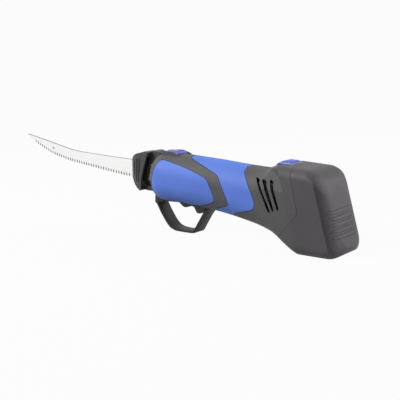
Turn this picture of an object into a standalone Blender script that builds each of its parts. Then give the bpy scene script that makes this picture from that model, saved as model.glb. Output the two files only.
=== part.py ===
"""Cordless electric fillet knife, built piece by piece.

Units are metres and +Z is up. The pieces are modelled along the barrel: X runs from the blade
tip to the battery, Y across, Z up, and x = 0 is the front face of the nose. The knife rests on
its trigger guard and on the foot of the battery, so everything hangs on one empty that tips the
barrel until those two feet are level, with the world origin at the middle of the battery's foot.
"""
import math

import bmesh
import bpy
import numpy as np
from mathutils import Matrix, Vector

# General fits
GAP = 0.0003                  # between pieces that touch
SLIDE_GAP = 0.0004            # between pieces that slide on each other
CUT_CLEARANCE = 0.00002       # keeps two surfaces apart where a cut must not touch

# Barrel and hump
BARREL_HALF_WIDTH = 0.0225
BARREL_TOP = 0.0243
BARREL_BOTTOM = 0.0254
HUMP_HALF_WIDTH = 0.0250
HUMP_TOP = 0.0308
HUMP_CORNER = 0.0090
TOP_CROWN = 0.0005
NOSE_LENGTH = 0.0140          # length over which the nose is rounded
NOSE_DROP = 0.0095            # how far the nose draws in
REAR_AT_AXIS = 0.2142         # rear face where it crosses the barrel axis
REAR_LEAN = math.radians(17.8)
REAR_ROUND = 0.0130
FOOT_FRONT = 0.1860           # flat foot under the battery
FOOT_REAR = 0.2120
FOOT_DEPTH = 0.0429           # depth of the foot's front edge below the axis
REAR_BOTTOM_SHARE = 0.6       # how much less the underside draws in at the rear
PANEL_STEP = 0.0011           # how far the side panels of the hump stand out
HOUSING_WALL = 0.0024
BATTERY_WALL = 0.0024

# Grip inlays
GRIP_THICKNESS = 0.0010

# Nose and blade clip
NOSE_OPENING_HALF_WIDTH = 0.0070
NOSE_OPENING_TOP = 0.0129
NOSE_OPENING_BOTTOM = -0.0139
NOSE_CAP_REAR = 0.0040
CLIP_HALF_WIDTH = 0.0120
CLIP_WALL = 0.0022
CLIP_FRONT_WALL = -0.0310     # rear face of the wall that joins the clip's pads
CLIP_HOLLOW = (-0.0172, 0.0165)
CLIP_GROOVES = [(-0.0302, -0.0040, 0.0110), (-0.0266, -0.0110, 0.0137),
                (-0.0238, -0.0112, 0.0137), (-0.0212, -0.0010, 0.0145)]  # place, low end, high end
CLIP_GROOVE_WIDTH = 0.0009
CLIP_GROOVE_DEPTH = 0.0007
CORE_HALF_WIDTH = 0.0050
TONGUE_HALF_WIDTH = 0.0040    # the two tongues that the clip pushes into the nose
TONGUE_REAR = -0.0210
TONGUE_REACH = 0.0034
TONGUES = [(-0.0129, -0.0119), (0.0104, 0.0116)]

# Blades
BLADE_THICKNESS = 0.0009
TOOTH_PITCH = 0.0045
TOOTH_DEPTH = 0.0019
TOOTH_GULLET = 0.0019
TEETH = 41
TEETH_REAR = -0.0510          # rearmost gullet
BLADE_TIP = -0.2491
BLADE_REAR = 0.0170
TANG_TOP = 0.0090
TANG_BOTTOM = -0.0106
HEEL_LENGTH = 0.0080          # the heel block that a carrier pushes on
HEEL_TOP = 0.0007
HEEL_BOTTOM = -0.0037
GRIND_HEIGHT = 0.0045
RIVET_X = -0.1930
RIVET_RADIUS = 0.0010
STROKE_LIMIT = 0.0031         # travel of each blade each way

# Trigger and guard
TRIGGER_HALF_WIDTH = 0.0050
TRIGGER_PIVOT = (0.0310, -0.0185)
TRIGGER_PIN_RADIUS = 0.0015
GUARD_HALF_WIDTH = 0.0073
GUARD_TENONS = [(0.0025, 0.0075, -0.0283), (0.0686, 0.0716, -0.0265)]   # ends along the axis, low end
GUARD_TENON_TOP = -0.0220
GUARD_TENON_HALF_WIDTH = 0.0035
SPRING_X = 0.0585             # the trigger's return spring
SPRING_TOP = -0.0113
SPRING_SEAT = -0.0184

# Drive
WHEEL_X = 0.0800
WHEEL_Z = -0.0080
WHEEL_TEETH = 20
MODULE = 0.0010
WORM_PITCH_RADIUS = 0.0030
WHEEL_HALF_WIDTH = 0.0025
TOOTH_HEIGHT = 0.0008
ROOT_DEPTH = 0.0012
AXLE_RADIUS = 0.00125
CRANK_OFFSET = 0.0035
CRANK_RADIUS = 0.0062
CARRIER_INNER = 0.0042        # inner face of a blade carrier, from the middle plane
CARRIER_THICKNESS = 0.0024
MOTOR_RADIUS = 0.0138
MOTOR_LENGTH = 0.0380
MOTOR_FRONT = 0.1003
SHAFT_RADIUS = 0.00095
FRAME_INNER = 0.0076          # inner face of a gear frame plate
FRAME_PLATE = 0.0020

# Top switch and battery release
SLIDER_FRONT = 0.0095
SLIDER_REAR = 0.0340
SLIDER_HALF_WIDTH = 0.0072
SLIDER_TOP = 0.0266
SLIDER_TRAVEL = 0.0040
SLIDER_STEM = (0.0150, 0.0262)
SLIDER_FOOT = (0.0135, 0.0280)
BEZEL_FRONT = 0.0048
BEZEL_REAR = 0.0345
BEZEL_HALF_WIDTH = 0.0090
RELEASE_FRONT = 0.1525
RELEASE_REAR = 0.1680
RELEASE_HALF_WIDTH = 0.0085
RELEASE_TOP = 0.0338
RELEASE_BOTTOM = 0.0225
RELEASE_TRAVEL = 0.0025
RELEASE_TONGUE = 0.1768
BRACKET_BOTTOM = 0.0135
BRACKET_THICKNESS = 0.0020

# Battery
CELL_RADIUS = 0.0090
CELL_LENGTH = 0.0500
CELL_X = 0.1994               # where the cells' axes cross the level of the barrel axis
CELL_Z = -0.0045              # height of the cells' middles
CELL_SPACING = 0.0196
HOLDER_FRONT = 0.0094         # from the cells' axes to the holder's front
HOLDER_HEIGHT = 0.0160
BOARD_THICKNESS = 0.0014
COVER_THICKNESS = 0.0016
SCREW_RADIUS = 0.0011
SCREW_HEAD_RADIUS = 0.0026
BOSS_RADIUS = 0.0032
SCREW_SEAT = 0.0110           # height of the screw heads' seat above the middle plane
SCREW_DEPTH = 0.0090          # how deep the screws reach into the far half
CONTACT_ROWS = (-0.0060, 0.0, 0.0060)

FOOT_LEAN = math.radians(4.7)  # lean of the barrel over the flat that it rests on
FOOT_MIDDLE = 0.5 * (FOOT_FRONT + FOOT_REAR)


def smooth_curve(points):
    """A monotone cubic through hand-chosen points, so that it never overshoots them."""
    xs = np.array([p[0] for p in points])
    ys = np.array([p[1] for p in points])
    steps = np.diff(xs)
    slopes = np.diff(ys) / steps
    grads = np.zeros(len(xs))
    for i in range(1, len(xs) - 1):
        if slopes[i - 1] * slopes[i] > 0:
            grads[i] = 2 * slopes[i - 1] * slopes[i] / (slopes[i - 1] + slopes[i])
    grads[0] = slopes[0]
    grads[-1] = slopes[-1]

    def value(x):
        if x <= xs[0]:
            return float(ys[0])
        if x >= xs[-1]:
            return float(ys[-1] + grads[-1] * (x - xs[-1]))
        i = int(np.searchsorted(xs, x)) - 1
        t = (x - xs[i]) / steps[i]
        a = ys[i] * (1 + 2 * t) * (1 - t) ** 2 + grads[i] * steps[i] * t * (1 - t) ** 2
        b = ys[i + 1] * (3 - 2 * t) * t * t + grads[i + 1] * steps[i] * t * t * (t - 1)
        return float(a + b)

    return value


def foot_height(x):
    """Height of the resting plane below the battery, in the barrel's frame."""
    return -FOOT_DEPTH + (x - FOOT_FRONT) * math.tan(FOOT_LEAN)


TOP_LINE = smooth_curve([
    (0.0, BARREL_TOP), (0.138, BARREL_TOP), (0.146, BARREL_TOP + 0.0010), (0.152, BARREL_TOP + 0.0040),
    (0.158, HUMP_TOP - 0.0008), (0.164, HUMP_TOP), (0.230, HUMP_TOP)])
BELLY_LINE = smooth_curve([
    (0.0, -0.0275), (0.012, -0.0277), (0.022, -0.0268), (0.032, -0.0258), (0.045, -0.0254),
    (0.070, -0.0254), (0.085, -0.0255), (0.100, -0.0262), (0.121, -0.0280), (0.140, -0.0302),
    (0.152, -0.0318), (0.162, -0.0345), (0.172, -0.0385), (0.180, -0.0415),
    (FOOT_FRONT, foot_height(FOOT_FRONT))])
SWELL_LINE = smooth_curve([
    (0.0, 0.0), (0.135, 0.0), (0.150, 0.24), (0.164, 0.76), (0.171, 1.0), (0.230, 1.0)])
CORNER_LINE = smooth_curve([
    (0.0, BARREL_HALF_WIDTH - 0.0002), (0.130, BARREL_HALF_WIDTH - 0.0002), (0.150, 0.0180),
    (0.163, 0.0120), (0.174, HUMP_CORNER), (0.230, HUMP_CORNER)])
LEAN_LINE = smooth_curve([
    (0.0, 0.0), (0.122, 0.0), (0.150, 0.5 * REAR_LEAN), (0.174, REAR_LEAN), (0.230, REAR_LEAN)])

# Side views of the blades' toothed edge and spine
EDGE_LINE = smooth_curve([
    (BLADE_TIP, 0.0179), (-0.2400, 0.0126), (-0.2307, 0.0085), (-0.2133, 0.0031), (-0.1955, -0.0017),
    (-0.1775, -0.0042), (-0.1592, -0.0063), (-0.1413, -0.0073), (-0.1234, -0.0081), (-0.1053, -0.0088),
    (-0.0872, -0.0095), (-0.0692, -0.0102), (-0.0510, TANG_BOTTOM), (0.0170, TANG_BOTTOM)])
SPINE_LINE = smooth_curve([
    (BLADE_TIP, 0.0184), (-0.2122, 0.0145), (-0.1804, 0.0108), (-0.1600, 0.0086), (-0.1403, 0.0076),
    (-0.0900, 0.0082), (-0.0469, TANG_TOP), (0.0170, TANG_TOP)])

# The blade clip: its pads and its core from the side, and the pads from above
CLIP_SIDE = [
    (-0.0150, 0.0222), (-0.0278, 0.0187), (-0.0339, 0.0149), (-0.0375, 0.0095), (-0.0405, 0.0020),
    (-0.0400, -0.0035), (-0.0360, -0.0080), (-0.0307, -0.0143), (-0.0265, -0.0178), (-0.0215, -0.0203),
    (-0.0200, -0.0190), (-0.0200, -0.0125), (-0.0189, -0.0054), (-0.0165, 0.0029), (-0.0138, 0.0101),
    (-0.0103, 0.0184), (-0.0085, 0.0226)]
CLIP_PLAN = [
    (-0.0415, 0.0030), (-0.0405, 0.0042), (-0.0390, 0.0066), (-0.0362, 0.0090), (-0.0320, 0.0108),
    (-0.0260, 0.0118), (-0.0200, CLIP_HALF_WIDTH), (0.0, CLIP_HALF_WIDTH)]
CLIP_CORE = [
    (-0.0345, 0.0120), (-0.0300, 0.0172), (-0.0203, 0.0214), (-0.0120, 0.0224), (0.0010, 0.0236),
    (0.0030, 0.0218), (-0.0057, 0.0124), (-0.0085, 0.0100), (-0.0119, 0.0080), (-0.0151, -0.0003),
    (-0.0183, -0.0100), (-0.0196, -0.0138), (-0.0120, -0.0152), (-0.0034, -0.0155), (-0.0034, -0.0192),
    (-0.0140, -0.0200), (-0.0225, -0.0200), (-0.0300, -0.0130), (-0.0345, -0.0080)]

# Side view of the seam between housing and battery, top to bottom
PARTING = [(0.1690, 0.0600), (0.1775, 0.0300), (0.1868, -0.0025), (0.1868, -0.0065),
           (0.1780, -0.0170), (0.1600, -0.0400), (0.1400, -0.0660)]

# Side views of the grip inlays
FRONT_GRIP = [(0.0126, 0.0140), (0.0148, 0.0178), (0.0194, 0.0184), (0.0309, 0.0174), (0.0432, 0.0161),
              (0.0555, 0.0143), (0.0684, 0.0119), (0.0798, 0.0091), (0.0841, 0.0070), (0.0869, 0.0026),
              (0.0902, -0.0032), (0.0924, -0.0085), (0.0912, -0.0120), (0.0866, -0.0142),
              (0.0767, -0.0183), (0.0680, -0.0212), (0.0560, -0.0228), (0.0350, -0.0236),
              (0.0180, -0.0242), (0.0110, -0.0222), (0.0078, -0.0170), (0.0066, -0.0110),
              (0.0070, -0.0040), (0.0090, 0.0031), (0.0108, 0.0092)]
REAR_GRIP = [(0.0440, 0.0400), (0.0482, 0.0233), (0.0562, 0.0219), (0.0656, 0.0202), (0.0754, 0.0182),
             (0.0848, 0.0159), (0.0912, 0.0143), (0.0951, 0.0126), (0.0985, 0.0090), (0.1027, 0.0030),
             (0.1058, -0.0025), (0.1088, -0.0085), (0.1090, -0.0118), (0.1060, -0.0140),
             (0.1000, -0.0160), (0.0925, -0.0186), (0.0895, -0.0222), (0.0980, -0.0244),
             (0.1080, -0.0250), (0.1123, -0.0205), (0.1236, -0.0162), (0.1324, -0.0133),
             (0.1380, -0.0112), (0.1402, -0.0080), (0.1402, -0.0040), (0.1388, -0.0005),
             (0.1360, 0.0042), (0.1318, 0.0100), (0.1270, 0.0152), (0.1226, 0.0190), (0.1207, 0.0208),
             (0.1188, 0.0233), (0.1170, 0.0400)]

# Side view of the edge of the hump's side panel
PANEL_EDGE = [(0.1400, 0.0600), (0.1650, 0.0300), (0.1700, 0.0290), (0.1770, 0.0288), (0.1850, 0.0284),
              (0.1916, 0.0277), (0.1955, 0.0268), (0.1983, 0.0252), (0.2003, 0.0225), (0.2031, 0.0146),
              (0.2066, 0.0046), (0.2102, -0.0061), (0.2130, -0.0156), (0.2152, -0.0244),
              (0.2164, -0.0315), (0.2190, -0.0600)]

# Three slanted vents with hooked upper ends
VENTS = [
    [(0.1379, 0.0172), (0.1408, 0.0176), (0.1443, 0.0156), (0.1437, 0.0142), (0.1471, 0.0102),
     (0.1508, 0.0036), (0.1543, -0.0020), (0.1585, -0.0097), (0.1563, -0.0106), (0.1534, -0.0061),
     (0.1482, 0.0036), (0.1434, 0.0113)],
    [(0.1463, 0.0172), (0.1495, 0.0178), (0.1528, 0.0159), (0.1522, 0.0146), (0.1548, 0.0105),
     (0.1576, 0.0038), (0.1600, -0.0015), (0.1627, -0.0077), (0.1606, -0.0088), (0.1577, -0.0034),
     (0.1538, 0.0041), (0.1503, 0.0116)],
    [(0.1555, 0.0178), (0.1583, 0.0184), (0.1608, 0.0159), (0.1602, 0.0145), (0.1617, 0.0112),
     (0.1643, 0.0046), (0.1681, -0.0055), (0.1661, -0.0068), (0.1637, -0.0017), (0.1607, 0.0053),
     (0.1575, 0.0128)]]

# Screws that close the housing, seen from the side
SCREWS = [(0.0190, -0.0150), (0.0500, 0.0189), (0.1160, -0.0128), (0.1480, -0.0205), (0.1455, 0.0215)]

# Side views of the finger guard, the trigger and the slider's bezel
GUARD_OUTER = [
    (-0.0026, -0.0145), (-0.0035, -0.0305), (-0.0010, -0.0315), (0.0054, -0.0407), (0.0113, -0.0475),
    (0.0157, -0.0519), (0.0201, -0.0545), (0.0262, -0.0558), (0.0335, foot_height(0.0335)),
    (0.0435, foot_height(0.0435)), (0.0490, -0.0541), (0.0535, -0.0530), (0.0549, -0.0509),
    (0.0600, -0.0426), (0.0652, -0.0343), (0.0705, -0.0272), (0.0722, -0.0262), (0.0800, -0.0150)]
GUARD_INNER = [
    (0.0770, -0.0150), (0.0668, -0.0275), (0.0632, -0.0330), (0.0577, -0.0416), (0.0530, -0.0490),
    (0.0510, -0.0509), (0.0485, -0.0516), (0.0436, -0.0527), (0.0338, -0.0535), (0.0270, -0.0535),
    (0.0214, -0.0523), (0.0174, -0.0499), (0.0133, -0.0458), (0.0076, -0.0390), (0.0014, -0.0300),
    (0.0035, -0.0290), (0.0060, -0.0286), (0.0088, -0.0286), (0.0088, -0.0145)]
TRIGGER_SIDE = [
    (0.0280, -0.0165), (0.0280, -0.0232), (0.0299, -0.0257), (0.0342, -0.0283), (0.0370, -0.0296),
    (0.0413, -0.0288), (0.0448, -0.0270), (0.0483, -0.0265), (0.0511, -0.0273), (0.0528, -0.0300),
    (0.0539, -0.0318), (0.0562, -0.0327), (0.0608, -0.0318), (0.0642, -0.0288), (0.0665, -0.0256),
    (0.0665, -0.0205), (0.0620, -0.0189), (0.0520, -0.0189), (0.0510, -0.0146), (0.0490, -0.0146),
    (0.0480, -0.0182), (0.0340, -0.0150), (0.0300, -0.0147)]
BEZEL_SIDE = [
    (0.0000, 0.0150), (0.0000, 0.0215), (0.0065, 0.0237), (0.0100, 0.0248), (0.0160, 0.0258),
    (0.0230, 0.0262), (0.0295, 0.0250), (BEZEL_REAR, 0.0239), (BEZEL_REAR, 0.0150)]


def side_width(x):
    """Half the width of the body, which swells from the barrel's to the hump's."""
    return BARREL_HALF_WIDTH + (HUMP_HALF_WIDTH - BARREL_HALF_WIDTH) * SWELL_LINE(x)


def bottom_height(x):
    """Height of the underside: a curve up to the foot, and the flat foot from there on."""
    return foot_height(x) if x > FOOT_FRONT else BELLY_LINE(x)


def clear_scene():
    for item in list(bpy.data.objects):
        bpy.data.objects.remove(item, do_unlink=True)


def make_material(name, color, roughness, metallic=0.0):
    material = bpy.data.materials.new(name)
    material.use_nodes = True
    shader = material.node_tree.nodes["Principled BSDF"]
    shader.inputs["Base Color"].default_value = (*color, 1.0)
    shader.inputs["Roughness"].default_value = roughness
    shader.inputs["Metallic"].default_value = metallic
    return material


def twisted(face):
    """Whether a face with four corners is not flat, which the Booleans cannot take."""
    if len(face.verts) != 4:
        return False
    a, b, c, d = [v.co for v in face.verts]
    return abs((b - a).cross(c - a).normalized().dot(d - a)) > 1e-7


def shape(verts, faces):
    """A closed mesh object with its faces turned outwards."""
    mesh = bpy.data.meshes.new("shape")
    mesh.from_pydata([tuple(v) for v in verts], [], faces)
    bm = bmesh.new()
    bm.from_mesh(mesh)
    bmesh.ops.recalc_face_normals(bm, faces=bm.faces)
    bmesh.ops.triangulate(bm, faces=[face for face in bm.faces if twisted(face)])
    bm.to_mesh(mesh)
    bm.free()
    item = bpy.data.objects.new("shape", mesh)
    bpy.context.collection.objects.link(item)
    return item


def loft(rings):
    """A solid skinned over rings with equal counts of points."""
    count = len(rings[0])
    verts = [point for ring in rings for point in ring]
    faces = []
    for r in range(len(rings) - 1):
        for k in range(count):
            a = r * count + k
            b = r * count + (k + 1) % count
            faces.append((a, b, b + count, a + count))
    faces.append(tuple(range(count)))
    faces.append(tuple(range(len(verts) - count, len(verts))))
    return shape(verts, faces)


def side_prism(points, y0, y1):
    """An outline seen from the side, (x, z) points, pushed across from y0 to y1."""
    return loft([[(x, y, z) for x, z in points] for y in (y0, y1)])


def plan_prism(points, z0, z1):
    """An outline seen from above, (x, y) points, pushed up from z0 to z1."""
    return loft([[(x, y, z) for x, y in points] for z in (z0, z1)])


def block(x0, x1, y0, y1, z0, z1):
    return plan_prism([(x0, y0), (x1, y0), (x1, y1), (x0, y1)], z0, z1)


def rod(start, end, radius, sides=20):
    """A round bar between two points."""
    a = Vector(start)
    b = Vector(end)
    turn = (b - a).to_track_quat("Z", "Y").to_matrix()
    circle = [Vector((radius * math.cos(t), radius * math.sin(t), 0.0))
              for t in np.linspace(0, 2 * math.pi, sides, endpoint=False)]
    return loft([[p + turn @ c for c in circle] for p in (a, b)])


def turned(place, direction, profile, sides=12):
    """A turned piece: (distance along the axis, radius) pairs, starting from place."""
    turn = Vector(direction).to_track_quat("Z", "Y").to_matrix()
    rings = []
    for along, radius in profile:
        rings.append([Vector(place) + turn @ Vector((radius * math.cos(t), radius * math.sin(t), along))
                      for t in np.linspace(0, 2 * math.pi, sides, endpoint=False)])
    return loft(rings)


def cross_rod(x, z, y0, y1, radius, sides=20):
    return rod((x, y0, z), (x, y1, z), radius, sides)


def rounded(points, radius, steps=3):
    """The outline with each corner swapped for a short arc."""
    result = []
    count = len(points)
    for i in range(count):
        corner = Vector(points[i])
        before = Vector(points[i - 1]) - corner
        after = Vector(points[(i + 1) % count]) - corner
        reach = min(radius, 0.45 * before.length, 0.45 * after.length)
        a = corner + before.normalized() * reach
        b = corner + after.normalized() * reach
        for k in range(steps + 1):
            t = k / steps
            p = a * (1 - t) ** 2 + corner * 2 * t * (1 - t) + b * t * t
            result.append((p.x, p.y))
    return result


def grown(points, distance):
    """The outline moved outwards by a distance, whichever way it winds."""
    count = len(points)
    area = sum(points[i - 1][0] * points[i][1] - points[i][0] * points[i - 1][1] for i in range(count))
    side = 1.0 if area > 0 else -1.0
    result = []
    for i in range(count):
        before = (Vector(points[i]) - Vector(points[i - 1])).normalized()
        after = (Vector(points[(i + 1) % count]) - Vector(points[i])).normalized()
        normal = Vector((before.y + after.y, -before.x - after.x)).normalized()
        cosine = max(0.4, normal.dot(Vector((before.y, -before.x))))
        p = Vector(points[i]) + normal * (side * distance / cosine)
        result.append((p.x, p.y))
    return result


def combine(target, other, operation):
    """Join, cut or intersect two solids, keeping the first and using up the second."""
    modifier = target.modifiers.new("combine", "BOOLEAN")
    modifier.operation = operation
    modifier.object = other
    modifier.solver = "EXACT"
    graph = bpy.context.evaluated_depsgraph_get()
    mesh = bpy.data.meshes.new_from_object(target.evaluated_get(graph))
    target.modifiers.clear()
    target.data = mesh
    bpy.data.objects.remove(other, do_unlink=True)
    return target


def cut(target, *others):
    for other in others:
        combine(target, other, "DIFFERENCE")
    return target


def join(target, *others):
    for other in others:
        combine(target, other, "UNION")
    return target


def keep(target, other):
    return combine(target, other, "INTERSECT")


def copy_shape(item):
    result = bpy.data.objects.new("copy", item.data.copy())
    bpy.context.collection.objects.link(result)
    return result


def mirrored(item):
    """The same solid on the other side of the middle plane."""
    result = copy_shape(item)
    bm = bmesh.new()
    bm.from_mesh(result.data)
    bmesh.ops.scale(bm, vec=(1.0, -1.0, 1.0), verts=bm.verts)
    bmesh.ops.reverse_faces(bm, faces=bm.faces)
    bm.to_mesh(result.data)
    bm.free()
    return result


def simplified(mesh):
    """Merge the slivers and the flat neighbours that the Booleans leave."""
    bm = bmesh.new()
    bm.from_mesh(mesh)
    bmesh.ops.dissolve_degenerate(bm, dist=1e-6, edges=bm.edges)
    bmesh.ops.dissolve_limit(bm, angle_limit=math.radians(0.3), verts=bm.verts, edges=bm.edges)
    bm.to_mesh(mesh)
    bm.free()


def piece(item, name, material, origin=(0.0, 0.0, 0.0), smooth=35.0):
    """Name a finished solid, put its origin on its joint and hang it on the tilted frame."""
    simplified(item.data)
    item.name = name
    item.data.name = name
    item.data.transform(Matrix.Translation(-Vector(origin)))
    item.location = origin
    item.parent = TOOL
    item.data.materials.clear()
    item.data.materials.append(material)
    item.data.shade_smooth()
    item.data.set_sharp_from_angle(angle=math.radians(smooth))
    return item


def body_ring(x, inset, steps, slimmer=0.0):
    """One rounded section, drawn in by inset all round, and by slimmer more on the hump's sides."""
    lean = math.tan(LEAN_LINE(x))
    drawn = 0.0
    if x < NOSE_LENGTH:
        drawn = NOSE_DROP * (1 - math.sqrt(max(0.0, 1 - (1 - x / NOSE_LENGTH) ** 2)))
    radius = REAR_ROUND - inset
    left = (REAR_AT_AXIS - x) * math.cos(REAR_LEAN) - inset
    if left < radius:
        drawn = radius - math.sqrt(max(0.0, radius ** 2 - (radius - left) ** 2))
    half = side_width(x) - inset - drawn - slimmer * SWELL_LINE(x)
    top = BARREL_TOP
    bottom = -BARREL_BOTTOM
    bottom_share = 1.0 if x < NOSE_LENGTH else REAR_BOTTOM_SHARE
    for _ in range(12):
        top = TOP_LINE(x - top * lean) - inset - drawn
        bottom = bottom_height(x - bottom * lean) + inset + drawn * bottom_share
    corner = max(0.0020, CORNER_LINE(x) - inset - 0.35 * drawn)
    corner = min(corner, 0.999 * half, 0.499 * (top - bottom))
    section = [(0.0, top + TOP_CROWN)]
    for centre_y, centre_z, start in (
            (half - corner, top - corner, 90), (half - corner, bottom + corner, 0),
            (corner - half, bottom + corner, -90), (corner - half, top - corner, -180)):
        for k in range(steps + 1):
            angle = math.radians(start - 90 * k / steps)
            section.append((centre_y + corner * math.cos(angle), centre_z + corner * math.sin(angle)))
        if start == 0:
            section.append((0.0, bottom))
    return [(x - z * lean, y, z) for y, z in section]


def body_solid(inset, fine=True, slimmer=0.0):
    """The whole outer form from nose to rear, drawn in by inset, and slimmer across the hump."""
    start = max(0.0, inset)
    nose = [0.0, 0.0012, 0.0032, 0.0060, 0.0096]
    barrel = [0.0140, 0.0600, 0.0800, 0.1000, 0.1220, 0.1310, 0.1400, 0.1450, 0.1490, 0.1530,
              0.1570, 0.1610, 0.1650, 0.1700, 0.1750, 0.1830, 0.1920]
    angles = [0, 20, 40, 58, 75, 90]
    steps = 6
    if not fine:
        steps = 4
        barrel = barrel[:5] + [0.1330, 0.1430, 0.1510, 0.1590, 0.1670, 0.1750, 0.1900]
        angles = [0, 30, 60, 90]
    radius = REAR_ROUND - inset
    stations = [start + (NOSE_LENGTH - start) * x / NOSE_LENGTH for x in nose] + barrel
    for angle in angles:
        left = inset + radius * (1 - math.sin(math.radians(angle)))
        stations.append(REAR_AT_AXIS - left / math.cos(REAR_LEAN))
    return loft([body_ring(x, inset, steps, slimmer) for x in stations])


def outer_form():
    """The outer form with its sides drawn in behind and above the edge of the side panels."""
    beyond = side_prism(PANEL_EDGE + [(0.2600, -0.0600), (0.2600, 0.0600)], -0.0600, 0.0600)
    cut(beyond, body_solid(-CUT_CLEARANCE, slimmer=PANEL_STEP + CUT_CLEARANCE))
    return cut(body_solid(0.0), beyond)


def behind_parting(offset):
    """Everything behind the seam line moved rearwards by offset."""
    line = [(x + offset, z) for x, z in PARTING]
    return side_prism(line + [(0.3000, PARTING[-1][1]), (0.3000, PARTING[0][1])], -0.0600, 0.0600)


def nose_opening(extra=0.0):
    half = NOSE_OPENING_HALF_WIDTH + extra
    return block(-0.0100, NOSE_CAP_REAR, -half, half, NOSE_OPENING_BOTTOM - extra, NOSE_OPENING_TOP + extra)


def blade_slot(x0, x1):
    """The space that both blade tangs slide in."""
    half = GAP / 2 + BLADE_THICKNESS + SLIDE_GAP
    return block(x0, x1, -half, half, TANG_BOTTOM - SLIDE_GAP, TANG_TOP + SLIDE_GAP)


def build_housing(materials):
    """The two halves of the housing, each a thin shell with bosses, vents and inlay recesses."""
    shell = cut(outer_form(), behind_parting(-GAP / 2))
    cut(shell, body_solid(HOUSING_WALL, fine=False))
    for x, z in SCREWS:
        boss = keep(cross_rod(x, z, 0.0, 0.0300, BOSS_RADIUS, 12), body_solid(HOUSING_WALL / 2, fine=False))
        join(shell, boss)
    keep(shell, block(-0.0100, 0.2600, GAP / 2, 0.0400, -0.0600, 0.0600))
    for outline in (FRONT_GRIP, REAR_GRIP):
        skin = cut(side_prism(grown(rounded(outline, 0.0025), GAP), -0.0010, 0.0400),
                   body_solid(GRIP_THICKNESS + GAP))
        cut(shell, skin)
    for vent in VENTS:
        cut(shell, side_prism(vent, 0.0080, 0.0400))
    trigger_slot = TRIGGER_HALF_WIDTH + SLIDE_GAP
    cut(shell, block(0.0272, 0.0685, -trigger_slot, trigger_slot, -0.0300, -0.0190))
    stem = SLIDER_HALF_WIDTH / 2
    cut(shell, block(SLIDER_STEM[0] - SLIDE_GAP, SLIDER_STEM[1] + SLIDER_TRAVEL + SLIDE_GAP, -stem, stem,
                     0.0190, 0.0300))
    pocket = RELEASE_HALF_WIDTH + SLIDE_GAP
    cut(shell, block(RELEASE_FRONT - SLIDE_GAP, RELEASE_REAR + SLIDE_GAP, -pocket, pocket, 0.0190, 0.0500))
    cut(shell, nose_opening())
    for x0, x1, _ in GUARD_TENONS:
        tenon = GUARD_TENON_HALF_WIDTH + GAP
        cut(shell, block(x0 - GAP, x1 + GAP, -tenon, tenon, -0.0300, GUARD_TENON_TOP + 0.0020))
    left = mirrored(shell)
    for x, z in SCREWS:
        cut(shell, cross_rod(x, z, -0.0100, 0.0400, SCREW_RADIUS + GAP, 12))
        cut(shell, cross_rod(x, z, SCREW_SEAT, 0.0400, SCREW_HEAD_RADIUS + GAP, 12))
        cut(left, cross_rod(x, z, -SCREW_DEPTH, 0.0100, SCREW_RADIUS + GAP, 12))
    piece(shell, "housing_right", materials["housing"])
    piece(left, "housing_left", materials["housing"])


def build_screws(materials):
    for number, (x, z) in enumerate(SCREWS, 1):
        screw = turned((x, 0.0, z), (0, 1, 0), [
            (-SCREW_DEPTH + 0.0010, SCREW_RADIUS), (SCREW_SEAT + GAP, SCREW_RADIUS),
            (SCREW_SEAT + GAP + 0.0001, SCREW_HEAD_RADIUS), (SCREW_SEAT + 0.0020, SCREW_HEAD_RADIUS)], 10)
        slot = block(x - 0.0005, x + 0.0005, SCREW_SEAT + 0.0012, SCREW_SEAT + 0.0030,
                     z - 0.0040, z + 0.0040)
        piece(cut(screw, slot), f"housing_screw_{number}", materials["steel"])


def build_grips(materials):
    for name, outline, screw in (("front_grip", FRONT_GRIP, SCREWS[0]), ("rear_grip", REAR_GRIP, SCREWS[2])):
        grip = keep(cut(body_solid(0.0), body_solid(GRIP_THICKNESS)),
                    side_prism(rounded(outline, 0.0025), GAP / 2, 0.0400))
        left = mirrored(grip)
        cut(grip, cross_rod(*screw, SCREW_SEAT, 0.0400, SCREW_HEAD_RADIUS + GAP, 12))
        piece(grip, name + "_right", materials["blue"])
        piece(left, name + "_left", materials["blue"])


def build_guard(materials):
    """A flat strip bent round the finger gap, tenoned into the housing at both ends."""
    guard = side_prism(GUARD_OUTER + GUARD_INNER, -GUARD_HALF_WIDTH, GUARD_HALF_WIDTH)
    cut(guard, body_solid(-GAP))
    for x0, x1, low in GUARD_TENONS:
        half = GUARD_TENON_HALF_WIDTH
        join(guard, block(x0, x1, -half, half, low, GUARD_TENON_TOP))
    piece(guard, "trigger_guard", materials["housing"])


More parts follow.
